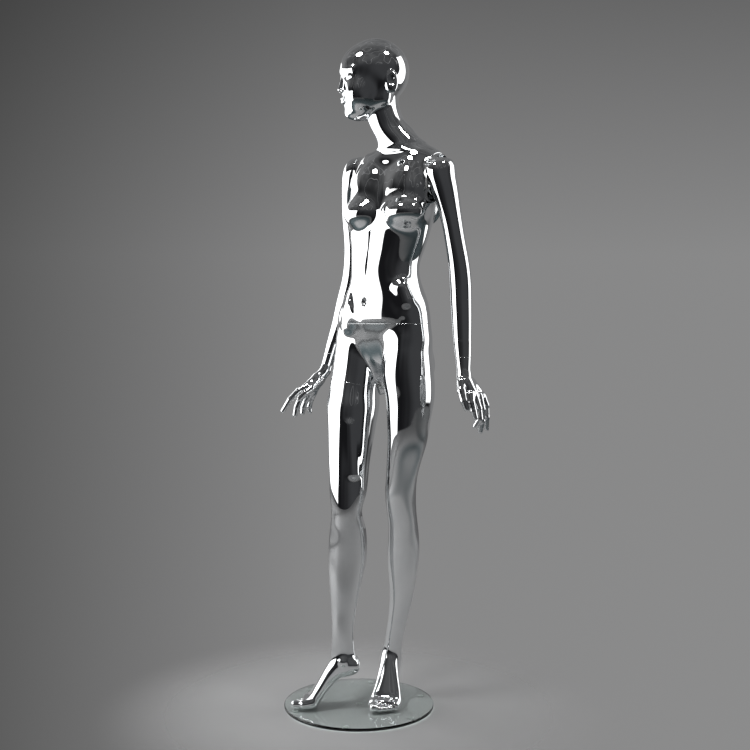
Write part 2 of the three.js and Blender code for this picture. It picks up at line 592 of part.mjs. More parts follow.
// tube with rounded ends through points [x, y, z, radius]
function limb(points, radial) {
  const centres = points.map(([x, y, z]) => new THREE.Vector3(x, y, z));
  const last = centres.length - 1;
  // shift moves the ring along the limb and scale sizes it, both in radii of point i
  const ringAt = (i, shift, scale) => {
    const after = centres[Math.min(i + 1, last)];
    const direction = after.clone().sub(centres[Math.max(i - 1, 0)]).normalize();
    const radius = points[i][3];
    const centre = centres[i].clone().addScaledVector(direction, radius * shift);
    const u = new THREE.Vector3(0.31, 0.83, 0.46).cross(direction).normalize();
    const w = new THREE.Vector3().crossVectors(direction, u);
    return { centre: centre.toArray(), u: u.toArray(), w: w.toArray(), radius: radius * scale };
  };
  const rings = [
    ringAt(0, -0.94, 0.34),
    ringAt(0, -0.6, 0.8),
    ...points.map((_, i) => ringAt(i, 0, 1)),
    ringAt(last, 0.6, 0.8),
    ringAt(last, 0.94, 0.34),
  ];
  return ringTube(rings, radial, (ring) => ring.radius);
}

// turns a geometry's own direction onto the axis and moves its origin to the position
function aim(geometry, ownDirection, axis, position) {
  const turn = new THREE.Quaternion().setFromUnitVectors(ownDirection, axis);
  const matrix = new THREE.Matrix4().makeRotationFromQuaternion(turn);
  matrix.setPosition(position);
  return geometry.applyMatrix4(matrix);
}
// everything beyond the offset along the axis from the point, as a big box
function halfSpace(point, axis, offset) {
  const size = 900;
  const normal = new THREE.Vector3(...axis).normalize();
  const centre = new THREE.Vector3(...point).addScaledVector(normal, offset + size / 2);
  const box = new THREE.BoxGeometry(size, size, size);
  return solidOf(aim(box, new THREE.Vector3(0, 0, 1), normal, centre));
}
const block = (size, centre) => (
  solidOf(new THREE.BoxGeometry(...size).translate(...centre))
);
// lathe about an axis through the point; profile points are [radius, distance along the axis]
function turned(profile, point, axis, segments) {
  let area = 0;
  profile.forEach((a, i) => {
    const b = profile[(i + 1) % profile.length];
    area += a[0] * b[1] - b[0] * a[1];
  });
  // a counterclockwise profile makes the faces look outward
  const ordered = area < 0 ? [...profile].reverse() : profile;
  const outline = ordered.map(([r, along]) => new THREE.Vector2(r, along));
  // a profile with both ends on the axis needs no closing line
  if (outline[0].x > 1e-6 || outline[outline.length - 1].x > 1e-6) {
    outline.push(outline[0].clone());
  }
  const normal = new THREE.Vector3(...axis).normalize();
  const lathe = new THREE.LatheGeometry(outline, segments);
  return solidOf(aim(lathe, new THREE.Vector3(0, 1, 0), normal, new THREE.Vector3(...point)));
}
const disc = (radius, from, to, point, axis, segments) => (
  turned([[0, from], [radius, from], [radius, to], [0, to]], point, axis, segments)
);
const keepBeyond = (solid, point, axis, offset) => (
  solid.intersect(halfSpace(point, axis, offset))
);
const drill = (solid, point, axis, radius, from, to) => (
  solid.subtract(disc(radius, from, to, point, axis, 12))
);

// ---- seam axes: each points from the piece with the socket to the piece with the post ----
const LEFT_SHOULDER_AXIS = unit([Math.cos(rad(SHOULDER_TILT)), 0, -Math.sin(rad(SHOULDER_TILT))]);
const RIGHT_SHOULDER_AXIS = negate(LEFT_SHOULDER_AXIS);
const THIGH_AXIS = unit([-Math.sin(rad(THIGH_TILT)), 0, -Math.cos(rad(THIGH_TILT))]);

// seam point and axis at a wrist, following the forearm
function wristSeam(arm) {
  const rise = 40;
  const above = arm.centre(WRIST_Z + rise);
  const at = arm.centre(WRIST_Z);
  return {
    at: [...at, WRIST_Z],
    axis: unit([at[0] - above[0], at[1] - above[1], -rise]),
  };
}

// ---- joints: socket, bush and post at a seam ----
// distances run along the axis from the seam; a post without a flange has a plain tail
function joint({ name, at, axis, postR, boardT = BOARD_T, depth, postFlangeR }) {
  const large = postR > 6;
  const face = -(boardT + GAP + SEAM);
  const boreR = postR + GAP + 2.2 * Math.min(1, postR / 10) + GAP;
  const outerR = boreR + (large ? 2.8 : 1.4);
  return {
    name, at, axis, postR, boardT, postFlangeR, face, boreR, outerR,
    flangeR: outerR + (large ? 7 : 1.6),
    flangeT: 3 * Math.min(1, postR / 8),
    end: face - depth,
  };
}
function jointSocket({ at, axis, postR, face, boreR, outerR, flangeR, flangeT, end }) {
  const floorHoleR = postR * 0.6;
  return turned([
    [boreR, face], [flangeR, face], [flangeR, face - flangeT], [outerR, face - flangeT],
    [outerR, end], [floorHoleR, end], [floorHoleR, end + flangeT], [boreR, end + flangeT],
  ], at, axis, 20);
}
function jointBush({ at, axis, postR, face, boreR, flangeT, end }) {
  const top = face - 0.5;
  const bottom = end + flangeT + 0.5;
  return turned([
    [postR + GAP, top], [boreR - GAP, top], [boreR - GAP, bottom], [postR + GAP, bottom],
  ], at, axis, 20);
}
function jointPost({ at, axis, postR, boardT, postFlangeR, flangeT, end }) {
  const tip = end + flangeT + 2;
  const chamfer = postR * 0.25;
  const flangeFace = boardT + GAP + SEAM;
  const postFlangeT = 3;
  const tail = postFlangeR
    ? [
      [postR, flangeFace], [postFlangeR, flangeFace],
      [postFlangeR, flangeFace + postFlangeT], [0, flangeFace + postFlangeT],
    ]
    : [[postR, POST_TAIL], [0, POST_TAIL]];
  const nose = [[0, tip], [postR - chamfer, tip], [postR, tip + chamfer]];
  return turned([...nose, ...tail], at, axis, 20);
}

const shoulderJoint = (name, at, axis) => (
  joint({ name, at, axis, postR: 10, depth: 34, postFlangeR: 18 })
);
const wristJoint = (name, arm) => (
  joint({ name, ...wristSeam(arm), postR: WRIST_POST_R, boardT: WRIST_BOARD_T, depth: 24 })
);
const waist = joint({
  name: 'waist', at: WAIST, axis: UP, postR: 14, depth: 46, postFlangeR: 34,
});
const leftShoulder = shoulderJoint('left_shoulder', LEFT_SHOULDER, LEFT_SHOULDER_AXIS);
const rightShoulder = shoulderJoint('right_shoulder', RIGHT_SHOULDER, RIGHT_SHOULDER_AXIS);
const thigh = joint({
  name: 'thigh', at: THIGH, axis: THIGH_AXIS, postR: 12, depth: 40, postFlangeR: 26,
});
const leftWrist = wristJoint('left_wrist', LEFT_ARM);
const rightWrist = wristJoint('right_wrist', RIGHT_ARM);

// closing board: a slice of the plug that fills the hollow, on one side of the seam
const SOCKET_SIDE = -1;
const POST_SIDE = 1;
function closingBoard(plug, { at, axis, postR, boardT }, side) {
  const [from, to] = side === SOCKET_SIDE ? [-SEAM - boardT, -SEAM] : [SEAM, SEAM + boardT];
  const slice = keepBeyond(plug, at, axis, from).subtract(halfSpace(at, axis, to));
  return drill(slice, at, axis, postR + 2 * GAP, from - 3, to + 3);
}

// ---- upper body ----
// ring centres lean with the chest, then back into the neck
function torsoCentre(z) {
  if (z > 1545) return [67 - (z - 1545) * 0.2, 31 - (z - 1545) * 0.15];
  if (z > 1440) {
    const t = (z - 1440) / 105;
    return [100 - 33 * t, 57 - 26 * t];
  }
  const t = clamp((z - 1015) / 425, 0, 1);
  return [51 + 49 * t, 42 + 15 * t];
}
const TORSO_OUTER_Z = [
  1005, 1035, 1070, 1105, 1140, 1175, 1210, 1243, 1262, 1280, 1298, 1316, 1334,
  1350, 1368, 1388, 1408, 1426, 1440, 1452, 1464, 1480, 1506, 1540, 1572, 1594,
];
const TORSO_PLUG_Z = [
  1005, 1060, 1105, 1140, 1175, 1215, 1280, 1334, 1352, 1372, 1395, 1418, 1434, 1447, 1465,
];
const TORSO_INNER_Z = [...TORSO_PLUG_Z, 1506, 1545, 1580];
const castTorso = (field, level, radial, heights) => castTube({
  field, level, rings: flatRings(heights, torsoCentre), radial, limit: 190,
});
const torsoPlug = castTorso(chestCore, -TRUNK_WALL - GAP - PLUG_EXTRA, 16, TORSO_PLUG_Z);
const castHead = (level, widthSegments, heightSegments, limit) => castBall({
  field: head, level, origin: HEAD_FRAME.origin, widthSegments, heightSegments, limit,
});

// the shoulder seams act only inside this block
const shoulderZone = block([900, 900, 300], [90, 50, 1436]);
const shoulderCut = (point, axis, offset) => (
  halfSpace(point, axis, offset).intersect(shoulderZone)
);
// room inside a shoulder for the flange of its socket
function flangeRoom({ at, axis, face, flangeR, flangeT }) {
  return disc(flangeR + 0.8, face - flangeT - 0.5, face + 0.5, at, axis, 20);
}
function upperBodyShell() {
  const outer = castTorso(chest, 0, 28, TORSO_OUTER_Z).add(castHead(0, 26, 18, 125));
  const inner = castTorso(chestCore, -TRUNK_WALL, 16, TORSO_INNER_Z)
    .add(castHead(-HEAD_WALL, 12, 8, 90));
  return keepBeyond(outer.subtract(inner), WAIST, UP, SEAM)
    .subtract(shoulderCut(LEFT_SHOULDER, LEFT_SHOULDER_AXIS, -SEAM))
    .subtract(shoulderCut(RIGHT_SHOULDER, RIGHT_SHOULDER_AXIS, -SEAM))
    .subtract(flangeRoom(leftShoulder))
    .subtract(flangeRoom(rightShoulder));
}

// ---- arms ----
const LEFT_ARM_PARTS = {
  arm: LEFT_ARM, armField: leftArm, top: 1449, shoulder: leftShoulder, wrist: leftWrist,
};
const RIGHT_ARM_PARTS = {
  arm: RIGHT_ARM, armField: rightArm, top: 1462, shoulder: rightShoulder, wrist: rightWrist,
};
const armSurface = (armField) => (x, y, z) => (
  z > ARMPIT_Z ? Math.min(chest(x, y, z), armField(x, y, z)) : armField(x, y, z)
);
function armOuter({ arm, armField, top, shoulder, wrist }) {
  const heights = [
    900, 930, 975, 1025, 1075, 1125, 1175, 1230, 1285, 1334, 1337, 1355, 1380, 1408,
    top - 22, top - 8, top,
  ];
  const rings = flatRings(heights, arm.centre);
  return castTube({ field: armSurface(armField), rings, radial: 16, limit: 100 })
    .subtract(shoulderCut(shoulder.at, negate(shoulder.axis), -SEAM))
    .subtract(halfSpace(wrist.at, wrist.axis, -SEAM));
}
function armHollow({ arm, armField, top }, level) {
  const heights = [895, 930, 1025, 1125, 1230, 1334, 1337, 1355, 1380, 1408, top - 20];
  const rings = flatRings(heights, arm.centre);
  return castTube({ field: armSurface(armField), level, rings, radial: 10, limit: 95 });
}
const armShell = (parts) => armOuter(parts).subtract(armHollow(parts, -ARM_WALL));
const leftArmPlug = armHollow(LEFT_ARM_PARTS, -ARM_WALL - GAP);
const rightArmPlug = armHollow(RIGHT_ARM_PARTS, -ARM_WALL - GAP);

// ---- hands ----
function hand(wristColumn, limbs, { at, axis, postR }) {
  const { bottom, centre, distance } = wristColumn;
  const heights = [bottom, (bottom + WRIST_Z) / 2, WRIST_Z, WRIST_Z + 24];
  const rings = flatRings(heights, centre);
  const parts = [
    castTube({ field: distance, rings, radial: 10, limit: 60 }),
    ...limbs.map((points) => limb(points, 6)),
  ];
  const cut = keepBeyond(union(parts), at, axis, SEAM);
  return drill(cut, at, axis, postR + GAP, -2, POST_TAIL + 1);
}

// ---- pelvis and legs ----
const PELVIS_OUTER_Z = [876, 890, 908, 930, 955, 980, 1003, 1025];
const PELVIS_INNER_Z = [884, 908, 940, 980, 1025];
const castPelvis = (field, level, radial, heights) => castTube({
  field, level, rings: flatRings(heights, () => [50, 42]), radial, limit: 260,
});
const pelvisPlug = castPelvis(hipsCore, -TRUNK_WALL - GAP - PLUG_EXTRA, 16, PELVIS_INNER_Z);

// rings of the right leg start higher, above its raised ankle
const SHARED_LEG_Z = [
  190, 235, 285, 335, 385, 435, 480, 520, 560, 610, 670, 730, 790, 835, 862, 890, 925,
];
const LEFT_LEG_Z = [104, 125, 150, ...SHARED_LEG_Z];
const RIGHT_LEG_Z = [146, ...SHARED_LEG_Z];
const LEG_INNER_Z = [190, 285, 335, 385, 435, 480, 520, 560, 610, 700, 790, 835, 862, 890, 915];
// below the crotch each thigh stops at the middle plane; inward is -1 for the left leg
const CROTCH_Z = 866;
const MIDDLE_X = 47;
const legCaster = (leg, legField, inward) => (level, radial, heights) => castTube({
  field: (x, y, z) => (z < CROTCH_Z
    ? Math.max(hips(x, y, z), inward * (x - MIDDLE_X) + 0.4)
    : legField(x, y, z)),
  level,
  rings: flatRings(heights, leg.centre),
  radial,
  limit: 120,
});
const castLeftLeg = legCaster(LEFT_LEG, leftLeg, -1);
const castRightLeg = legCaster(RIGHT_LEG, rightLeg, 1);
const leftLegOuter = castLeftLeg(0, 14, LEFT_LEG_Z);
const rightLegOuter = castRightLeg(0, 14, RIGHT_LEG_Z);
const rightLegPlug = castRightLeg(-LEG_WALL - GAP - PLUG_EXTRA, 10, LEG_INNER_Z);
const hipsOuter = castPelvis(hips, 0, 28, PELVIS_OUTER_Z).add(leftLegOuter).add(rightLegOuter);
const hipsInner = castPelvis(hipsCore, -TRUNK_WALL, 16, PELVIS_INNER_Z)
  .add(castLeftLeg(-LEG_WALL, 10, LEG_INNER_Z))
  .add(castRightLeg(-LEG_WALL, 10, LEG_INNER_Z));

// side is 1 for the left foot and -1 for the right
function foot(side, frame) {
  const rows = FOOT_ROWS.map(([along, x, y, width, front, back, turn, fullness]) => (
    [along, side * x, y, width, front, back, side * turn, fullness]
  ));
  const footColumn = column({ capBlend: 8, rows });
  const c = Math.cos(rad(frame.yaw));
  const s = Math.sin(rad(frame.yaw));
  const toFigure = (x, height, along) => [
    frame.origin[0] + c * x + s * along,
    frame.origin[1] + s * x - c * along,
    height,
  ];
  const field = (x, y, z) => {
    const [across, backward, height] = intoFrame(frame, x, y, z);
    return footColumn.distance(across, height, -backward);
  };
  const rings = FOOT_RINGS.map((along) => ({
    centre: toFigure(...footColumn.centre(along), along),
    u: [c, s, 0],
    w: [0, 0, -1],
  })).reverse();
  const toes = TOES.map((points) => (
    limb(points.map(([x, y, z, r]) => [...toFigure(side * x, y, z), r]), 7)
  ));
  return union([castTube({ field, rings, radial: 14, limit: 70 }), ...toes]);
}

// the lift-off leg is everything below the groin seam on the right of the middle plane
const rightOfMiddle = block([300, 500, 255], [-103.3, 0, KNEE_UP + 127.5]);
const legRegion = (offset) => halfSpace(THIGH, THIGH_AXIS, offset).intersect(rightOfMiddle);
// everything up to just above the split height
const lowerLegs = block([900, 900, 900], [0, 0, KNEE_UP + 0.5 - 450]);

function lowerBodyShell() {
  const shell = hipsOuter
    .subtract(lowerLegs)
    .subtract(legRegion(-SEAM))
    .add(leftLegOuter.intersect(lowerLegs.translate(0, 0, 0.5)))
    .add(foot(1, LEFT_FOOT_FRAME))
    .subtract(hipsInner)
    .subtract(halfSpace(WAIST, UP, -SEAM));
  // bore for the foot socket tube
  return drill(shell, SPIGOT, UP, FOOT_TUBE.outerR + 0.7, -5, FOOT_TUBE.top + 1);
}
function rightLegShell() {
  return hipsOuter
    .intersect(legRegion(SEAM))
    .add(rightLegOuter.intersect(lowerLegs))
    .add(foot(-1, RIGHT_FOOT_FRAME))
    .subtract(hipsInner);
}

// ---- foot socket and base: profiles about the support rod, heights from the glass top ----
const aboutRod = (profile, segments) => turned(profile, SPIGOT, UP, segments);
const GLASS_UNDER = -PLATE_T;

function footSocketTube() {
  const { outerR, bottom, top } = FOOT_TUBE;
  const boreR = ROD_R + 0.4;
  return aboutRod([[boreR, bottom], [outerR, bottom], [outerR, top], [boreR, top]], 16);
}
function baseFlange() {
  return aboutRod([
    [ROD_R + GAP, 1.3], [23, 1.3], [23, 3.2], [21.5, 4.4],
    [12, 6.2], [9.6, 11], [9, 17], [ROD_R + GAP, 17],
  ], 20);
}
function flangeGasket() {
  return aboutRod([[ROD_R + GAP, 0.3], [22, 0.3], [22, 1], [ROD_R + GAP, 1]], 20);
}
// rod with a blind hole in its foot for the clamp bolt
function supportRod() {
  return aboutRod([
    [0, 16], [4.3, 16], [4.3, 1.2], [ROD_R, 1.2],
    [ROD_R, ROD_TOP - 2], [ROD_R - 2, ROD_TOP], [0, ROD_TOP],
  ], 16);
}
// bolt with a recess in its head, from under the glass up into the rod
function clampBolt() {
  return aboutRod([
    [0, GLASS_UNDER - 1.5], [3, GLASS_UNDER - 1.5], [3, GLASS_UNDER - 2.6],
    [8.5, GLASS_UNDER - 2.6], [10, GLASS_UNDER - 1.4], [10, GLASS_UNDER - 1.2],
    [4, GLASS_UNDER - 1.2], [4, 14], [0, 14],
  ], 16);
}
function clampWasher() {
  return aboutRod([
    [4.3, GLASS_UNDER - 0.9], [14, GLASS_UNDER - 0.9],
    [14, GLASS_UNDER - 0.3], [4.3, GLASS_UNDER - 0.3],
  ], 16);
}
function glassPlate() {
  const edge = PLATE_D / 2;
  const plate = turned([
    [0, GLASS_UNDER], [edge - 2.4, GLASS_UNDER], [edge - 0.7, GLASS_UNDER + 0.8],
    [edge, GLASS_UNDER + 2.6], [edge, -2.6], [edge - 0.7, -0.8], [edge - 2.4, 0], [0, 0],
  ], [0, 0, 0], UP, 48);
  return drill(plate, SPIGOT, UP, 5, GLASS_UNDER - 2, 2);
}
function bumper(centre) {
  const top = BUMPER_H - GAP;
  return turned([[0, 0], [6.5, 0], [8, 1.2], [8, top], [0, top]], centre, UP, 14);
}

// ---- scene ----
const mannequin = new THREE.Group();
const figure = new THREE.Group();
figure.position.z = GLASS_TOP;
mannequin.add(figure);

function put(parent, name, solid, look) {
  const geometry = toGeometry(largestBody(solid).simplify(0.02));
  const mesh = new THREE.Mesh(geometry, new THREE.MeshStandardMaterial(look));
  mesh.name = name;
  parent.add(mesh);
}

put(figure, 'upper_body_shell', upperBodyShell(), CHROME);
put(figure, 'lower_body_shell', lowerBodyShell(), CHROME);
put(figure, 'right_leg_shell', rightLegShell(), CHROME);
put(figure, 'left_arm_shell', armShell(LEFT_ARM_PARTS), CHROME);
put(figure, 'right_arm_shell', armShell(RIGHT_ARM_PARTS), CHROME);
put(figure, 'left_hand', hand(LEFT_WRIST, LEFT_HAND_LIMBS, leftWrist), CHROME);
put(figure, 'right_hand', hand(RIGHT_WRIST, RIGHT_HAND_LIMBS, rightWrist), CHROME);

const shoulderPlug = torsoPlug.intersect(shoulderZone);
const boards = [
  ['waist_board_lower', pelvisPlug, waist, SOCKET_SIDE],
  ['waist_board_upper', torsoPlug, waist, POST_SIDE],
  ['left_shoulder_board_body', shoulderPlug, leftShoulder, SOCKET_SIDE],
  ['left_shoulder_board_arm', leftArmPlug.intersect(shoulderZone), leftShoulder, POST_SIDE],
  ['right_shoulder_board_body', shoulderPlug, rightShoulder, SOCKET_SIDE],
  ['right_shoulder_board_arm', rightArmPlug.intersect(shoulderZone), rightShoulder, POST_SIDE],
  ['thigh_board_body', rightLegPlug, thigh, SOCKET_SIDE],
  ['thigh_board_leg', rightLegPlug, thigh, POST_SIDE],
  ['left_wrist_board', leftArmPlug, leftWrist, SOCKET_SIDE],
  ['right_wrist_board', rightArmPlug, rightWrist, SOCKET_SIDE],
];
for (const [name, plug, seam, side] of boards) {
  put(figure, name, closingBoard(plug, seam, side), BOARD);
}

for (const seam of [waist, leftShoulder, rightShoulder, thigh, leftWrist, rightWrist]) {
  put(figure, `${seam.name}_socket`, jointSocket(seam), STEEL);
  put(figure, `${seam.name}_bush`, jointBush(seam), NYLON);
  put(figure, `${seam.name}_post`, jointPost(seam), STEEL);
}

put(figure, 'foot_socket_tube', footSocketTube(), STEEL);
put(figure, 'base_flange', baseFlange(), STEEL);
put(figure, 'flange_gasket', flangeGasket(), RUBBER);
put(figure, 'support_rod', supportRod(), CHROME);
put(figure, 'clamp_bolt', clampBolt(), STEEL);
put(figure, 'clamp_washer', clampWasher(), RUBBER);
put(figure, 'glass_plate', glassPlate(), GLASS);

// six bumpers round the edge and one in the middle
const bumperCircleR = PLATE_D / 2 - BUMPER_INSET;
const bumperCentres = [0, 60, 120, 180, 240, 300].map((angle) => (
  [Math.cos(rad(angle)) * bumperCircleR, Math.sin(rad(angle)) * bumperCircleR, 0]
));
[...bumperCentres, [0, 0, 0]].forEach((centre, i) => {
  put(mannequin, `bumper_${i + 1}`, bumper(centre), RUBBER);
});

export default mannequin;
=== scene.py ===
# Full body mannequin: a chrome woman standing on a round glass plate, built round the packed
# frame. The skin is one smooth surface blended from section tables, then split at the seams
# into the pieces that come apart. The figure's left is +X, her front is -Y and +Z is up.
# Shapes are in millimetres above the top of the glass; objects are in metres.
import bmesh
import bpy
import math
import numpy as np
from concurrent.futures import ThreadPoolExecutor
from itertools import combinations, product
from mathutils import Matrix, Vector


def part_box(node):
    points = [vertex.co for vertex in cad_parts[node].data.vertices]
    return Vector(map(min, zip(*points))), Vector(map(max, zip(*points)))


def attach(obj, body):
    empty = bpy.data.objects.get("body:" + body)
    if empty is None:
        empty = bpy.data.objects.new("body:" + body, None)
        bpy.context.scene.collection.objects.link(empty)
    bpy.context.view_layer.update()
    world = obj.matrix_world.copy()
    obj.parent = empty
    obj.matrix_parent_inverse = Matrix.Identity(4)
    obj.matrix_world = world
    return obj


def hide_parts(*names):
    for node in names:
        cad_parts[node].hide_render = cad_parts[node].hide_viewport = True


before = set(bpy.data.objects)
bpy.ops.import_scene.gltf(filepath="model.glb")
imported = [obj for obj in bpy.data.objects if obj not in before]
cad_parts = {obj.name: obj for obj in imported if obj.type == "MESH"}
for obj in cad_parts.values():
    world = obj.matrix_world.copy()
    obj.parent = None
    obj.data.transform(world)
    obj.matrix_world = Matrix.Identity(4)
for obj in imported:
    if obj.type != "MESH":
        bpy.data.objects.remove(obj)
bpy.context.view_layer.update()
GLASS_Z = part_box("glass_plate")[1][2]          # top of the glass, metres
SKIN_CELL = 3.0         # cell size of the skin
SIDES = ("left", "right")


# ---------------------------------------------------------------- distance fields
class Spline:
    """Natural cubic spline, held constant past its ends."""
    def __init__(self, knots, values):
        count = len(knots)
        gaps = np.diff(knots)
        matrix = np.zeros((count, count))
        target = np.zeros(count)
        matrix[0, 0] = matrix[-1, -1] = 1
        for i in range(1, count - 1):
            matrix[i, i - 1] = gaps[i - 1]
            matrix[i, i] = 2 * (gaps[i - 1] + gaps[i])
            matrix[i, i + 1] = gaps[i]
            target[i] = 6 * ((values[i + 1] - values[i]) / gaps[i]
                             - (values[i] - values[i - 1]) / gaps[i - 1])
        self.knots, self.values, self.gaps = knots, values, gaps
        self.curvature = np.linalg.solve(matrix, target)

    def __call__(self, at):
        knots, values, bend = self.knots, self.values, self.curvature
        at = np.clip(at, knots[0], knots[-1])
        i = np.clip(np.searchsorted(knots, at) - 1, 0, len(knots) - 2)
        gap = self.gaps[i]
        a = (knots[i + 1] - at) / gap
        b = (at - knots[i]) / gap
        curve = ((a ** 3 - a) * bend[i] + (b ** 3 - b) * bend[i + 1]) * gap * gap / 6
        return a * values[i] + b * values[i + 1] + curve


def soft_min(first, second, blend):
    overlap = np.maximum(blend - np.abs(first - second), 0) / blend
    return np.minimum(first, second) - overlap ** 3 * blend / 6


def soft_max(first, second, blend):
    return -soft_min(-first, -second, blend)


def ease(start, end, value):
    share = np.clip((value - start) / (end - start), 0, 1)
    return share * share * (3 - 2 * share)


def turned(points, origin, yaw):
    """Points in a frame at origin, turned by yaw degrees about Z."""
    cos, sin = math.cos(math.radians(yaw)), math.sin(math.radians(yaw))
    offset = points - np.array(origin)
    x, y, z = offset[:, 0], offset[:, 1], offset[:, 2]
    return np.stack([cos * x + sin * y, -sin * x + cos * y, z], 1)


# Each part is (distance function, blend width, whether it is cut away).
def ball(centre, radii, blend, yaw=0, cut=False):
    """An ellipsoid."""
    centre, radii = np.array(centre), np.array(radii)

    def distance(points):
        local = turned(points, centre, yaw) if yaw else points - centre
        scaled = np.sqrt(((local / radii) ** 2).sum(1))
        gradient = np.sqrt(((local / (radii * radii)) ** 2).sum(1)) + 1e-9
        return scaled * (scaled - 1) / gradient
    return distance, blend, cut


def capsule(start, start_radius, end, end_radius, blend, cut=False):
    """A tapered capsule."""
    start = np.array(start)
    line = np.array(end) - start

    def distance(points):
        offset = points - start
        share = np.clip((offset @ line) / (line @ line), 0, 1)
        reach = np.sqrt(((offset - share[:, None] * line) ** 2).sum(1))
        return reach - (start_radius + (end_radius - start_radius) * share)
    return distance, blend, cut


def finger(*joints):
    """Capsules through (x, y, z, radius) joints, blended wider at the palm."""
    return [capsule(a[:3], a[3], b[:3], b[3], 3 if i else 6)
            for i, (a, b) in enumerate(zip(joints, joints[1:]))]


def groove(radius, blend, *path):
    """Capsules cut away along a path."""
    return [capsule(a, radius, b, radius, blend, cut=True) for a, b in zip(path, path[1:])]


def column(rows, cap, blend=0, fullness=2.0):
    """A limb through sections. Rows: height, centre x, centre y, half width, depth towards -Y,
    depth towards +Y, turn in degrees (0 if left out), fullness (the default if left out)."""
    table = np.array([row + (0, fullness)[len(row) - 6:] for row in rows], float)
    splines = [Spline(table[:, 0], table[:, i]) for i in range(1, 8)]
    bottom, top = rows[0][0], rows[-1][0]

    def distance(points):
        z = points[:, 2]
        centre_x, centre_y, width, front, back, turn, power = [s(z) for s in splines]
        cos, sin = np.cos(np.radians(turn)), np.sin(np.radians(turn))
        dx, dy = points[:, 0] - centre_x, points[:, 1] - centre_y
        x = cos * dx + sin * dy
        y = -sin * dx + cos * dy
        share = np.clip((y + front) / (front + back), 0, 1)
        depth = front + (back - front) * share * share * (3 - 2 * share)
        across, along = np.abs(x) / width, np.abs(y) / depth
        scaled = (across ** power + along ** power + 1e-12) ** (1 / power)
        gradient = np.sqrt((across ** (power - 1) / width) ** 2
                           + (along ** (power - 1) / depth) ** 2) * scaled ** (1 - power) + 1e-9
        side = (scaled - 1) / gradient
        side = np.where(scaled < 1e-3, -np.minimum(width, depth), side)
        return soft_max(soft_max(side, z - top, cap), bottom - z, cap)
    return distance, blend, False


def blended(parts, points):
    distance = parts[0][0](points)
    for part, blend, cut in parts[1:]:
        other = part(points)
        if cut:
            distance = soft_max(distance, -other, blend)
        else:
            distance = soft_min(distance, other, blend)
    return distance


def bounded(parts, low, high, local=lambda points: points):
    """The parts' field within a padded box, and the distance to that box outside it."""
    pad = 40
    low, high = np.array(low) - pad, np.array(high) + pad

    def field(points):
        near = ((points >= low) & (points <= high)).all(1)
        distance = np.maximum(np.maximum(low - points, points - high).max(1), 0) + pad
        if near.any():
            distance[near] = blended(parts, local(points[near]))
        return distance
    return field


